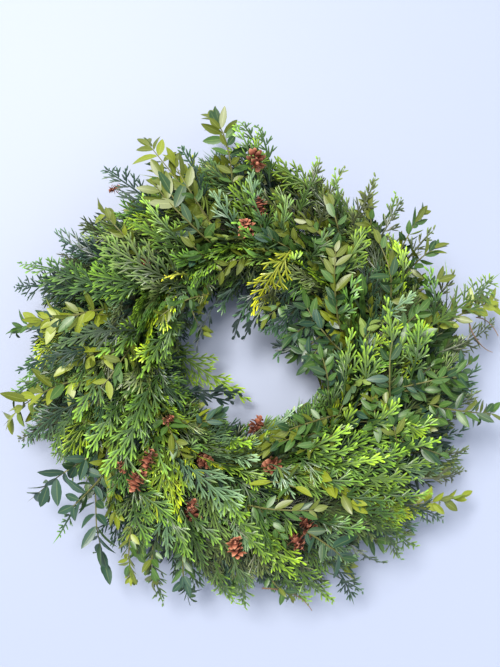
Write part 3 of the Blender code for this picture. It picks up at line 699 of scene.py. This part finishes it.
def leaf_blades(heap, base, ahead, above, length, half, curl, fold, upper_row, under_row, blunt=0.8,
                thick=0.03):
    """Leaves, each a surface of (along, across): half width is a power of a sine, the rims stand above the
    midrib by fold times the width, and the whole curls down with the square of the way along. The rows pick
    the finish of the upper and the under side."""
    across = unit(np.cross(above, ahead))
    above = np.cross(ahead, across)
    wide = np.sin(np.pi * LEAF_STEPS ** 0.9) ** blunt
    run = length[:, None] * LEAF_STEPS
    sag = -curl[:, None] * length[:, None] * LEAF_STEPS ** 2
    w = half[:, None] * wide

    def place(along, aside, over):
        return (base[:, None] + along[..., None] * ahead[:, None] + aside[..., None] * across[:, None]
                + over[..., None] * above[:, None])

    rim = sag + fold[:, None] * w
    body = length[:, None] * thick * wide
    rings = [place(run, -w, rim), place(run, 0 * w, sag), place(run, w, rim), place(run, 0 * w, sag - body)]
    rings = np.stack(rings, axis=2).reshape(len(base), -1, 3)
    tip = base + length[:, None] * ahead - (curl * length)[:, None] * above
    points = np.concatenate([base[:, None], rings, tip[:, None]], axis=1)
    u = np.concatenate([[0.02], np.repeat(LEAF_STEPS, 4), [0.98]])
    aside = np.concatenate([[0.5], np.tile([0.06, 0.5, 0.94, 0.5], len(LEAF_STEPS)), [0.5]])
    faces, places = [], []
    for pattern, row in ((UPPER_FACES, upper_row), (UNDER_FACES, under_row)):
        pattern = np.array(pattern)
        faces.append(repeat_faces(pattern, len(base), points.shape[1]))
        v = (row[:, None, None] + 0.05 + 0.9 * aside[pattern][None]) / LEAF_ROWS
        places.append(np.stack([np.broadcast_to(u[pattern][None], v.shape), v], axis=-1).reshape(-1, 3, 2))
    heap.add(points.reshape(-1, 3), np.concatenate(faces), np.concatenate(places))


def shoot(heap, spine, rng, shade, size=1.0, bare=0.22, trim=True):
    """A boxwood shoot: a stem with opposite leaves in pairs, smaller towards the tip, and one at the tip."""
    length = spine.length
    leaf_length = LEAF_LENGTH * size
    first = bare * length
    leafy = length - first - 0.6 * leaf_length
    pairs = max(2, int(leafy / (LEAF_PITCH * size)))
    step = leafy / pairs
    at = first + step * np.repeat(np.arange(pairs + 1), 2)
    side = np.tile([1.0, -1.0], pairs + 1)
    at = np.concatenate([at, [length - 0.35 * leaf_length]])
    side = np.concatenate([side, [0.15]])
    count = len(at)
    share = at / length
    long = leaf_length * (0.78 + 0.30 * np.sin(np.pi * np.clip(share, 0, 1) ** 1.2))
    long = long * rng.uniform(0.66, 1.16, count)
    slant = np.radians(52 - 26 * share) * side + rng.normal(0, 0.30, count)
    up_tilt = rng.normal(0.24, 0.34, count)
    base = spine.put(at, 0.0006 * side, np.zeros(count))
    ahead, across, up = (spine.read(rows, at) for rows in (spine.ahead, spine.across, spine.up))
    level = np.cos(slant)[:, None] * ahead + np.sin(slant)[:, None] * across
    point = np.cos(up_tilt)[:, None] * level + np.sin(up_tilt)[:, None] * up
    over = np.cos(up_tilt)[:, None] * up - np.sin(up_tilt)[:, None] * level
    roll = rng.normal(0.0, 0.60, count)[:, None] + 0.12 * side[:, None]
    over = np.cos(roll) * over + np.sin(roll) * unit(np.cross(over, point))
    half = LEAF_HALF * size * rng.uniform(0.85, 1.12, count) * (long / leaf_length) ** 0.5
    young = share + rng.normal(0, 0.15, count) > 0.72
    rows = shade_rows(shade, rng, count, young)
    under = np.where(np.isin(rows, (0, 1, 2)), 5.0, 6.0)
    way = long[:, None] * point
    kept = kept_rows(base + way, trim) & kept_rows(base + 0.5 * way, trim)
    curl = rng.uniform(-0.04, 0.30, kept.sum())
    fold = rng.uniform(0.08, 0.42, kept.sum())
    leaf_blades(heap, base[kept], point[kept], over[kept], long[kept], half[kept], curl, fold,
                rows[kept], under[kept])
    x = np.linspace(0.0, length, AXIS_STATIONS)[None]
    thick = np.linspace(0.0009, 0.0005, AXIS_STATIONS - 2)[None]
    u = np.linspace(0.1, 0.9, AXIS_STATIONS)[None]
    spindles(heap, spine, (x, 0 * x, 0 * x), thick, u, np.array([STEM_ROW / LEAF_ROWS]), ridge=0.9)


def shade_rows(shade, rng, count, young):
    """Finish rows for a shoot's leaves, drawn by the shares of its shade, with young leaves in their row."""
    rows, shares, young_row = SHADES[shade]
    drawn = rng.choice(rows, count, p=shares)
    return drawn if young_row is None else np.where(young, young_row, drawn)


def tubes(heap, lines, radius, tint, sides=6):
    """Round stems along rows of stations: rings of equal sides, square to the line, with flat cut ends."""
    rows, stations, _ = lines.shape
    ahead = unit(np.gradient(lines, axis=1))
    up = np.array([0.0, 0.0, 1.0])
    across = unit(np.cross(np.broadcast_to(up, ahead.shape), ahead))
    over = np.cross(ahead, across)
    turn = 2 * np.pi * np.arange(sides) / sides
    ring = (np.cos(turn)[:, None] * across[:, :, None] + np.sin(turn)[:, None] * over[:, :, None])
    points = lines[:, :, None] + ring * radius[:, :, None, None]
    points = points.reshape(rows, -1, 3)
    faces = []
    for station in range(stations - 1):
        for side in range(sides):
            a, b = station * sides + side, station * sides + (side + 1) % sides
            faces += [(a, b, b + sides), (a, b + sides, a + sides)]
    last = (stations - 1) * sides
    for side in range(1, sides - 1):
        faces += [(0, side + 1, side), (last, last + side, last + side + 1)]
    u = np.repeat(np.linspace(0.05, 0.95, stations), sides) + np.tile(0.01 * np.arange(sides), stations)
    v = tint[:, None] + np.tile(0.004 * np.cos(turn), stations)
    places = np.stack([np.broadcast_to(u, v.shape), v], axis=-1).reshape(-1, 2)
    heap.add(points.reshape(-1, 3), repeat_faces(faces, rows, points.shape[1]), places)


def stem_bundle(heap, bunch, rng):
    """Cut stems laid along one bunch's stretch of the ring, packed round one another."""
    turns = np.arange(OUTER_STEMS) * 2 * np.pi / OUTER_STEMS
    spots = [(0.0, 0.0)] + [(STEM_RING, turn) for turn in turns]
    share = np.linspace(0.0, 1.0, 7)
    lines, radii = [], []
    for reach, turn in spots:
        wander = turn + rng.uniform(-0.25, 0.25) + 0.5 * rng.uniform(-1, 1) * share
        out = reach * np.cos(wander)
        height = CORE_HEIGHT + reach * np.sin(wander)
        angle = (bunch + 0.02 + 0.05 * rng.uniform() + (0.90 + 0.04 * rng.uniform()) * share) * BUNCH_PITCH
        radius = RING_RADIUS + out
        lines.append(np.stack([radius * np.cos(angle), radius * np.sin(angle), height], axis=1))
        radii.append(rng.uniform(0.0026, 0.0036) * (1.0 - 0.12 * share))
    tint = rng.uniform(0.955, 0.985, len(lines))
    tubes(heap, np.array(lines) + ring_centre, np.array(radii), tint)


def cone_scales(heap, centre, axis, up, length, radius, rng):
    """A small open cone: thick rounded scales set in a golden-angle spiral, each standing off the axis."""
    k = np.arange(CONE_SCALES)
    share = (k + 0.5) / CONE_SCALES
    turn = k * GOLDEN_ANGLE
    across = np.cross(up, axis)
    outward = np.cos(turn)[:, None] * up + np.sin(turn)[:, None] * across
    body = np.sin(np.pi * (0.14 + 0.78 * share) ** 0.85)
    open_angle = np.radians(86 - 46 * share) + rng.normal(0, 0.30, CONE_SCALES)
    ahead = np.cos(open_angle)[:, None] * axis + np.sin(open_angle)[:, None] * outward
    above = np.cos(open_angle)[:, None] * outward - np.sin(open_angle)[:, None] * axis
    base = centre + axis * (length * (0.84 * share - 0.46))[:, None]
    base = base + outward * (0.14 * radius * body)[:, None]
    long = radius * (0.52 + 0.56 * body) * rng.uniform(0.72, 1.24, CONE_SCALES)
    half = radius * (0.25 + 0.21 * body) * rng.uniform(0.75, 1.15, CONE_SCALES)
    rows = rng.choice([0.0, 1.0, 2.0, 3.0], CONE_SCALES)
    curl, fold = np.full(CONE_SCALES, -0.26), np.full(CONE_SCALES, -0.32)
    leaf_blades(heap, base, ahead, above, long, half, curl, fold, rows, rows + 4.0, blunt=0.45, thick=0.10)
    stem = centre + axis * np.linspace(-0.56, 0.42, 5)[:, None] * length
    tubes(heap, stem[None], radius * np.array([[0.10, 0.16, 0.26, 0.26, 0.10]]), np.array([0.06]))


class Value:
    """A shader socket that takes part in Python sums: each operator adds its Math node."""

    def __init__(self, tree, socket):
        self.tree, self.socket = tree, socket

    def math(self, operation, other, flipped=False):
        """One Math node of this value and another, in the other order where flipped."""
        pair = (other, self) if flipped else (self, other)
        return add_node(self.tree, "ShaderNodeMath", {"operation": operation}, dict(enumerate(pair)))

    def __add__(self, other):
        return self.math("ADD", other)

    def __sub__(self, other):
        return self.math("SUBTRACT", other)

    def __rsub__(self, other):
        return self.math("SUBTRACT", other, flipped=True)

    def __mul__(self, other):
        return self.math("MULTIPLY", other)

    def call(self, operation):
        """One Math node of this value alone."""
        return add_node(self.tree, "ShaderNodeMath", {"operation": operation}, {0: self})

    def step(self, low, high):
        """0 below low, 1 above high, eased between."""
        sockets = {"Value": self, "From Min": low, "From Max": high}
        return add_node(self.tree, "ShaderNodeMapRange", {"interpolation_type": "SMOOTHSTEP"}, sockets)

    __radd__, __rmul__ = __add__, __mul__


def add_node(tree, kind, settings, sockets, output=0):
    """One node: its settings first, then its sockets' values or links. A ramp's stops are a setting."""
    made = tree.nodes.new(kind)
    for name, setting in settings.items():
        if name == "stops":
            ramp = made.color_ramp
            while len(ramp.elements) < len(setting):
                ramp.elements.new(0.5)
            for element, (position, colour) in zip(ramp.elements, setting):
                element.position = position
                element.color = (*colour, 1.0)
        else:
            setattr(made, name, setting)
    for name, given in sockets.items():
        if isinstance(given, Value):
            tree.links.new(given.socket, made.inputs[name])
        elif isinstance(given, tuple) and len(given) == 3 and made.inputs[name].type == "RGBA":
            made.inputs[name].default_value = (*given, 1.0)
        else:
            made.inputs[name].default_value = given
    return Value(tree, made.outputs[output])


def blend(tree, factor, under, over, blend_type="MIX"):
    """Colours mixed by a factor."""
    settings = {"data_type": "RGBA", "blend_type": blend_type}
    return add_node(tree, "ShaderNodeMix", settings, {0: factor, 6: under, 7: over}, output=2)


def new_finish(name, **fixed):
    """A material with its fixed shader sockets set, its node tree and its shader."""
    finish = bpy.data.materials.new(name)
    finish.use_nodes = True
    tree = finish.node_tree
    shader = tree.nodes["Principled BSDF"]
    for socket, number in fixed.items():
        shader.inputs[socket.replace("_", " ")].default_value = number
    return finish, tree, shader


def finish_place(tree):
    """The u and v of a piece's finish map, and the place that holds both."""
    place = add_node(tree, "ShaderNodeUVMap", {"uv_map": FINISH_MAP}, {})
    u = add_node(tree, "ShaderNodeSeparateXYZ", {}, {0: place})
    return u, Value(tree, u.socket.node.outputs[1]), place


def noise(tree, place, scale, detail):
    """A soft pattern of patches, from 0 to 1."""
    return add_node(tree, "ShaderNodeTexNoise", {}, {"Vector": place, "Scale": scale, "Detail": detail})


def colour_ramp(tree, factor, stops):
    """A colour picked by a factor from rows of (position, colour)."""
    return add_node(tree, "ShaderNodeValToRGB", {"stops": stops}, {0: factor})


def lightened(tree, colour, lightness):
    """A colour times a lightness."""
    grey = add_node(tree, "ShaderNodeCombineColor", {}, {0: lightness, 1: lightness, 2: lightness})
    return blend(tree, 1.0, colour, grey, "MULTIPLY")


def arborvitae_finish():
    """Scale leaves: v picks the spray's green, u runs from old growth to bright young tips. The dark old end
    is partly the older growth's own deeper green and partly painted shade deep among the sprays.
    """
    finish, tree, shader = new_finish("arborvitae_leaf", Roughness=0.50, Coat_Weight=0.05,
                                      Specular_IOR_Level=0.52)
    youth_and_shade, tint, place = finish_place(tree)
    old_growth_and_shade = colour_ramp(tree, tint, [
        (0.00, (0.006, 0.018, 0.013)), (0.15, (0.009, 0.029, 0.014)), (0.30, (0.032, 0.039, 0.010)),
        (0.42, (0.015, 0.048, 0.010)), (0.55, (0.036, 0.074, 0.009)), (0.66, (0.080, 0.140, 0.010)),
        (0.74, (0.210, 0.230, 0.014)), (0.86, (0.055, 0.112, 0.052)), (0.92, (0.055, 0.112, 0.052)),
        (0.94, (0.140, 0.080, 0.040))])
    young = colour_ramp(tree, tint, [
        (0.00, (0.046, 0.125, 0.058)), (0.15, (0.078, 0.185, 0.058)), (0.30, (0.190, 0.250, 0.050)),
        (0.42, (0.160, 0.375, 0.042)), (0.55, (0.320, 0.560, 0.028)), (0.66, (0.530, 0.760, 0.014)),
        (0.74, (0.860, 0.820, 0.014)), (0.86, (0.270, 0.430, 0.190)), (0.92, (0.270, 0.430, 0.190)),
        (0.94, (0.280, 0.170, 0.090))])
    mottle = noise(tree, place, 55.0, 2.0)
    colour = blend(tree, youth_and_shade.step(0.36, 0.94), old_growth_and_shade, young)
    colour = lightened(tree, colour, mottle * 0.55 + 0.72)
    tree.links.new(colour.socket, shader.inputs["Base Color"])
    return finish


def boxwood_finish():
    """Leaf rows by shade, with a paler midrib and rim: v picks the row and the way across the leaf."""
    finish, tree, shader = new_finish("boxwood_leaf", Coat_Weight=0.05, Coat_Roughness=0.35,
                                      Specular_IOR_Level=0.40)
    _, v, place = finish_place(tree)
    scaled = v * float(LEAF_ROWS)
    across = scaled.call("FRACT")
    row = (scaled.call("FLOOR") + 0.5) * (1.0 / LEAF_ROWS)
    shades = [(0.026, 0.064, 0.038), (0.020, 0.054, 0.016), (0.046, 0.104, 0.018), (0.090, 0.115, 0.010),
              (0.168, 0.206, 0.012), (0.060, 0.110, 0.046), (0.140, 0.205, 0.036), (0.110, 0.110, 0.030)]
    stops = [(number / LEAF_ROWS, shade) for number, shade in enumerate(shades)]
    body = colour_ramp(tree, row, stops)
    body.socket.node.color_ramp.interpolation = "CONSTANT"
    middle = (across - 0.5).call("ABSOLUTE")
    is_leaf = 1.0 - row.step(0.90, 0.92)
    rib = (1.0 - middle.step(0.010, 0.035)) * is_leaf
    rim = middle.step(0.38, 0.45) * is_leaf
    mottle = noise(tree, place, 24.0, 3.0)
    colour = lightened(tree, body, mottle * 0.5 + 0.75)
    colour = blend(tree, rib * 0.22, colour, (0.420, 0.480, 0.160))
    colour = blend(tree, rim * 0.10, colour, (0.300, 0.380, 0.120))
    tree.links.new(colour.socket, shader.inputs["Base Color"])
    under = row.step(0.62, 0.64)
    rough = under * 0.20 + 0.35 + mottle * 0.14
    tree.links.new(rough.socket, shader.inputs["Roughness"])
    return finish


def cone_finish():
    """Dry scales: u runs from the dark throat to the pale rim. The near-black throat is painted shade, deep
    in the cone between the scales.
    """
    finish, tree, shader = new_finish("cone_scale", Roughness=0.62)
    along, _, place = finish_place(tree)
    # The ramp's near-black low end is painted shade where the scales sit deep in the cone.
    shade = colour_ramp(tree, along + noise(tree, place, 30.0, 3.0) * 0.4 - 0.2, [
        (0.00, (0.040, 0.012, 0.009)), (0.30, (0.130, 0.036, 0.022)), (0.72, (0.340, 0.110, 0.058)),
        (1.00, (0.540, 0.245, 0.140))])
    tree.links.new(shade.socket, shader.inputs["Base Color"])
    return finish


def wire_finish(name, coat, worn, metallic):
    """Varnished wire with worn, brighter places."""
    finish, tree, shader = new_finish(name, Metallic=metallic)
    place = add_node(tree, "ShaderNodeTexCoord", {}, {}, output=3)
    wear = noise(tree, place, 160.0, 4.0).step(0.52, 0.66)
    tree.links.new(blend(tree, wear, coat, worn).socket, shader.inputs["Base Color"])
    tree.links.new((wear * 0.25 + 0.32).socket, shader.inputs["Roughness"])
    return finish


def floor_finish():
    """A plain pale floor."""
    finish, _, shader = new_finish("pale_floor", Roughness=0.55)
    shader.inputs["Base Color"].default_value = FLOOR_COLOUR
    return finish


def spray_tint(base, shown_deg, rng):
    """A spray's green: near its layer's, sometimes bright, sometimes with its pale underside up, and often
    olive at the upper right."""
    if rng.uniform() < 0.55 * hump(shown_deg, *OLIVE_SPRAYS):
        return float(rng.uniform(*OLIVE_TINTS))
    kind = rng.uniform()
    if kind < 0.07:
        return PALE_TINT
    if kind < 0.20 and base > 0.3:
        return float(rng.uniform(*BRIGHT_TINTS))
    return float(np.clip(base - 0.06 + rng.normal(0, 0.15), 0.02, 0.66))


def boxwood_share(shown_deg):
    """How much of the fill is boxwood at an angle: most on the right half, less on the left."""
    return 0.07 + 0.58 * math.exp(-(wrap_deg(shown_deg - BOXWOOD_MIDDLE) / 68.0) ** 4)


def boxwood_shade(shown_deg, rng):
    """Dark and mid-green shoots on the right half, olive ones among them at the upper right, and more
    yellow-green ones on the left."""
    if rng.uniform() < 0.75 * hump(shown_deg, *WARM_SHOOTS):
        return "warm"
    dark_share = 0.40 + 0.45 * math.exp(-(wrap_deg(shown_deg - BOXWOOD_MIDDLE) / 90.0) ** 4)
    if rng.uniform() < dark_share:
        return "dark" if rng.uniform() < 0.6 else "mid"
    return "light"


def layer_spine(layer, cell, rng, scatter=1.0, start=0.0, reaches=FILL_REACH):
    """One blade of a fill layer: its middle line, its bunch and the angle where it shows."""
    first, second, share, count, more_lean, lift, _ = layer
    values = skin_between(first, second, share)
    heading = 2 * math.pi / count * (cell + rng.uniform(-0.3, 0.3))
    root, bunch = root_near(heading)
    shown = math.degrees(heading + shown_drift(values))
    reach = rng.uniform(*reaches) * share_kept(values, shown)
    spine = skin_spine(values, root, heading, reach, more_lean + scatter * rng.normal(8, 9),
                       lift + scatter * rng.uniform(-0.006, 0.006), scatter * rng.normal(0, 0.30), start)
    return spine, bunch, shown


def laid_spine(places, rng):
    """A middle line laid over the wreath from one plan place to another, and the bunch that it starts in.
    It comes out from under the top growth over its first half and then follows the dome, with a slight
    bow. Its flat side follows the dome's slope in part."""
    base, tip = np.array(places[:2]) / MM, np.array(places[2:]) / MM
    share = np.linspace(0.0, 1.0, SPINE_STATIONS)[:, None]
    run = tip - base
    bow = np.array([-run[1], run[0]]) * rng.uniform(-LAID_BOW, LAID_BOW)
    plan = base + run * share + bow * 4 * share * (1 - share)
    reach = np.hypot(plan[:, 0], plan[:, 1])
    sunk = LAID_DEPTH * (1 - ease(share[:, 0] / 0.5))
    height = np.interp(reach, *DOME) + LAID_LIFT + rng.uniform(*LAID_SCATTER) - sunk
    rise = np.interp(reach + SLOPE_STEP, *DOME) - np.interp(reach - SLOPE_STEP, *DOME)
    slope = rise / (2 * SLOPE_STEP)
    ups = np.column_stack([-SLOPE_SHARE * slope[:, None] * plan / reach[:, None], np.ones(len(plan))])
    line = np.column_stack([plan, height]) + ring_centre
    return Spine(line, unit(ups), rng.normal(0, LAID_ROLL)), bunch_at(*base)


def twig(heap, places):
    """A bare twig: a thin tapering stem bowed to one side, laid over the top growth."""
    base, tip, bow = np.array(places[:2]) / MM, np.array(places[2:4]) / MM, places[4] / MM
    share = np.linspace(0.0, 1.0, 9)[:, None]
    aside = unit(np.array([base[1] - tip[1], tip[0] - base[0]]))
    plan = base + (tip - base) * share + bow * aside * 4 * share * (1 - share)
    reach = np.hypot(plan[:, 0], plan[:, 1])
    line = np.column_stack([plan, np.interp(reach, *DOME) + TWIG_LIFT]) + ring_centre
    radius = TWIG_RADIUS - TWIG_RADIUS / 2 * share
    tubes(heap, line[None], radius.T, np.array([STEM_TINT]), sides=5)


def cells(layers, kind):
    """Each place round each layer, with its own random draws."""
    for level, layer in enumerate(layers):
        _, _, _, count, _, _, _ = layer
        for cell in range(count):
            yield layer, cell, np.random.default_rng([SEED, kind, level, cell])


def lay_blade(sprays, sprigs, placed, base_tint, growth, rng):
    """A boxwood shoot or an arborvitae spray on a placed line, by how much boxwood grows there."""
    spine, bunch, shown = placed
    sizes, widths, bares = growth
    if rng.uniform() < boxwood_share(shown):
        shoot(sprigs[bunch], spine, rng, boxwood_shade(shown, rng), rng.uniform(*sizes), bare=bares[0])
    else:
        width = SPRAY_HALF_WIDTH * rng.uniform(*widths)
        spray(sprays[bunch], spine, width, spray_tint(base_tint, shown, rng), rng, bare=bares[1])


def lay_skins(sprays):
    """Puts the stems and a spray at each place on the solids' skins into the heap of their bunch. Gives back
    the lines and shades of the places that hold a boxwood shoot."""
    for bunch in range(BUNCHES):
        stem_bundle(sprays[bunch], bunch, np.random.default_rng([SEED, STEMS, bunch]))
    shades = {}
    for skin, shown, shade in SHOOTS:
        count = SKINS[skin][3]
        drift = shown_drift(SKINS[skin])
        shades[skin, round((math.radians(shown) - drift) / (2 * math.pi / count)) % count] = shade
    shoots = []
    for level, (skin, values) in enumerate(SKINS.items()):
        pitch = 2 * math.pi / values[3]
        for cell in range(values[3]):
            rng = np.random.default_rng([SEED, BLADES, level, cell])
            heading = pitch * (cell + draw.uniform(-HEADING_JITTER, HEADING_JITTER))
            root, bunch = root_near(heading)
            shown = math.degrees(heading + shown_drift(values))
            reach = BLADE_REACH * share_kept(values, shown)
            spine = skin_spine(values, root, heading, reach, rng.uniform(0, 8), roll=rng.normal(0, 0.15))
            if (skin, cell) in shades:
                shoots.append((spine, shades[skin, cell]))
            else:
                width = SPRAY_HALF_WIDTH * rng.uniform(0.9, 1.1)
                spray(sprays[bunch], spine, width, spray_tint(TINTS[skin], shown, rng), rng)
    return shoots


def lay_fill(sprays, sprigs):
    """The growth between the skins: fill layers, coarse dark sprays under them, and tufts that stand out."""
    for layer, cell, rng in cells(FILLS, FILL):
        placed = layer_spine(layer, cell, rng)
        lay_blade(sprays, sprigs, placed, layer[-1], FILL_GROWTH, rng)
    for layer, cell, rng in cells(UNDER_LAYERS, BELOW):
        spine, bunch, _ = layer_spine(layer, cell, rng, 0.3, reaches=BELOW_REACH)
        # Under-layer sprays keep few bright tips, so their near-black green paints the shade deep under the
        # top growth.
        spray(sprays[bunch], spine, SPRAY_HALF_WIDTH * 1.1, layer[-1], rng, tips=0.4, coarse=2.0)
    for layer, cell, rng in cells(TUFTS, TUFT):
        placed = layer_spine(layer, cell, rng, 1.5, start=rng.uniform(*TUFT_START))
        lay_blade(sprays, sprigs, placed, layer[-1], TUFT_GROWTH, rng)


def lay_shown(sprays, sprigs):
    """The sprays, shoots and twigs that lie on top, at their places in the photograph. The darkest sprays
    hang into the hole and are coarse, with hardly any bright tips."""
    for number, (*places, tint, half_width) in enumerate(SHOWN_SPRAYS):
        rng = np.random.default_rng([SEED, LAID_SPRAY, number])
        spine, bunch = laid_spine(places, rng)
        # Sprays of tint under 0.05 hang into the hole: their near-black green, with hardly any bright tips,
        # is painted shade inside the hole.
        tips, coarse = (0.2, 1.7) if tint < 0.05 else (1.1, 1.15)
        spray(sprays[bunch], spine, half_width / MM, tint, rng, bare=0.06, tips=tips, coarse=coarse,
              trim=False)
    for number, (*places, shade, size) in enumerate(SHOWN_SHOOTS):
        rng = np.random.default_rng([SEED, LAID_SHOOT, number])
        spine, bunch = laid_spine(places, rng)
        shoot(sprigs[bunch], spine, rng, shade, size, bare=0.03, trim=False)
    for places in TWIGS:
        twig(sprays[bunch_at(*places[:2])], places)


def show(heap, name, finish, slot, node=None, settles=True):
    """A heap's piece, in place of a solid where one is named. The slot argument is not used."""
    made = heap.piece(name, finish, settles)
    if node:
        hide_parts(node)


def lay_foliage():
    """All growth: sprays and sprigs bunch by bunch, then the shoots that stand for solids."""
    sprays = [Heap() for _ in range(BUNCHES)]
    sprigs = [Heap() for _ in range(BUNCHES)]
    shoots = lay_skins(sprays)
    lay_fill(sprays, sprigs)
    lay_shown(sprays, sprigs)
    for number in range(1, BUNCHES + 1):
        show(sprays[number - 1], f"arborvitae_sprays_{number:02d}", leaf_green, "arborvitae_green",
             f"arborvitae_bunch_{number:02d}")
        if sprigs[number - 1].count:
            show(sprigs[number - 1], f"boxwood_sprigs_{number:02d}", box_green, "boxwood_dark")
    for number, (spine, shade) in enumerate(shoots, 1):
        heap = Heap()
        shoot(heap, spine, rng, shade)
        show(heap, f"boxwood_leaves_{number:02d}", box_green, "boxwood_" + shade,
             f"boxwood_shoot_{number:02d}")


def lay_cones():
    """An open cone at each cone solid, its axis along the solid's longest way."""
    for number in range(1, CONES + 1):
        name = f"cone_{number:02d}"
        points = np.array([vertex.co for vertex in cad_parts[name].data.vertices])
        centre = (points.min(0) + points.max(0)) / 2
        axis = unit(np.linalg.svd(points - points.mean(0), full_matrices=False)[2][0])
        up = unit(np.cross(np.cross(axis, [0.0, 0.0, 1.0]), axis))
        heap = Heap()
        cone_scales(heap, centre, axis, up, CONE_LENGTH, CONE_RADIUS, rng)
        show(heap, f"open_cone_{number:02d}", cone_brown, "cone_brown", name, settles=False)


def lay_small_cones():
    """Small cones, still half shut, on the top growth."""
    heap = Heap()
    up = np.array([0.0, 0.0, 1.0])
    for x, y, turn_deg in SMALL_CONES:
        plan = np.array([x, y]) / MM
        height = float(settled(np.interp(np.hypot(*plan), *DOME) + SMALL_CONE_LIFT))
        centre = np.array([*plan, height]) + ring_centre
        turn = math.radians(turn_deg)
        axis = np.array([math.cos(turn), math.sin(turn), 0.0])
        cone_scales(heap, centre, axis, up, SMALL_CONE_LENGTH, SMALL_CONE_RADIUS, rng)
    show(heap, "small_cones", cone_brown, "cone_brown", settles=False)


def lay_stray_spray():
    """The spray that strays over the hole: straight in plan from the stems to its tip, with a low arch."""
    tip = np.array(STRAY_TIP) + ring_centre
    reach = RING_RADIUS + CORE_RADIUS * math.cos(STRAY_SECTION)
    begin = np.array([reach * math.cos(STRAY_ROOT), reach * math.sin(STRAY_ROOT),
                      CORE_HEIGHT + CORE_RADIUS * math.sin(STRAY_SECTION)]) + ring_centre
    share = np.linspace(0.0, 1.0, 21)[:, None]
    points = begin + (tip - begin) * share + np.array([0, 0, STRAY_ARCH]) * 4 * share * (1 - share)
    spine = Spine(points, np.broadcast_to([0.0, 0.0, 1.0], points.shape))
    heap = Heap()
    spray(heap, spine, STRAY_HALF_WIDTH, STRAY_TINT, rng, bare=0.14, trim=False)
    show(heap, "stray_spray", leaf_green, "arborvitae_green", "arborvitae_stray_spray")


def coat_wire(node, finish):
    """Gives a wire solid its finish."""
    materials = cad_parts[node].data.materials
    materials.clear()
    materials.append(finish)


def set_view():
    """Plain colour response, so that the bright young tips stay saturated."""
    view = bpy.context.scene.view_settings
    view.view_transform = "Standard"
    view.look = "None"


def light_and_floor():
    """A pale floor, a soft sky and two large soft lamps."""
    mesh = bpy.data.meshes.new("floor")
    turns = ((-1, -1), (1, -1), (1, 1), (-1, 1))
    mesh.from_pydata([(x * FLOOR_SIDE, y * FLOOR_SIDE, -FLOOR_DROP) for x, y in turns], [], [(0, 1, 2, 3)])
    mesh.materials.append(floor_finish())
    floor = bpy.data.objects.new("floor", mesh)
    bpy.context.scene.collection.objects.link(floor)
    world = bpy.data.worlds.new("studio")
    world.use_nodes = True
    sky = world.node_tree.nodes["Background"].inputs
    sky["Color"].default_value = SKY_COLOUR
    sky["Strength"].default_value = SKY_STRENGTH
    bpy.context.scene.world = world
    for name, place, strength, spread, colour in LAMPS:
        lamp = bpy.data.lights.new(name, "SUN")
        lamp.energy = strength
        lamp.angle = math.radians(spread)
        lamp.color = colour
        obj = bpy.data.objects.new(name, lamp)
        obj.location = place
        obj.rotation_euler = (-Vector(place)).to_track_quat("-Z", "Y").to_euler()
        bpy.context.scene.collection.objects.link(obj)


def place_camera():
    """Looks down on the wreath from a little below its lower edge, as the photograph does."""
    camera = bpy.data.cameras.new("camera")
    camera.sensor_width = SENSOR_WIDTH
    camera.lens = LENS
    obj = bpy.data.objects.new("camera", camera)
    back = Vector((0.0, -math.cos(CAMERA_ELEVATION), math.sin(CAMERA_ELEVATION)))
    obj.location = Vector(CAMERA_TARGET) + back * CAMERA_DISTANCE
    obj.rotation_euler = (-back).to_track_quat("-Z", "Y").to_euler()
    bpy.context.scene.collection.objects.link(obj)
    bpy.context.scene.camera = obj


frame_low, frame_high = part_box("wire_frame")
ring_centre = np.array([(frame_low.x + frame_high.x) / 2, (frame_low.y + frame_high.y) / 2, 0.0])
cone_boxes = [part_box(f"cone_{number:02d}") for number in range(1, CONES + 1)]
cone_spots = np.array([(np.array(low) + np.array(high)) / 2 for low, high in cone_boxes])

leaf_green = arborvitae_finish()
box_green = boxwood_finish()
cone_brown = cone_finish()
rng = np.random.default_rng(SEED)
draw = random.Random(SEED)

lay_foliage()
lay_cones()
lay_small_cones()
lay_stray_spray()
coat_wire("wire_frame", wire_finish("frame_varnish", *VARNISH, metallic=0.7))
coat_wire("binding_wire", wire_finish("binding_enamel", *ENAMEL, metallic=0.4))
set_view()
light_and_floor()
place_camera()
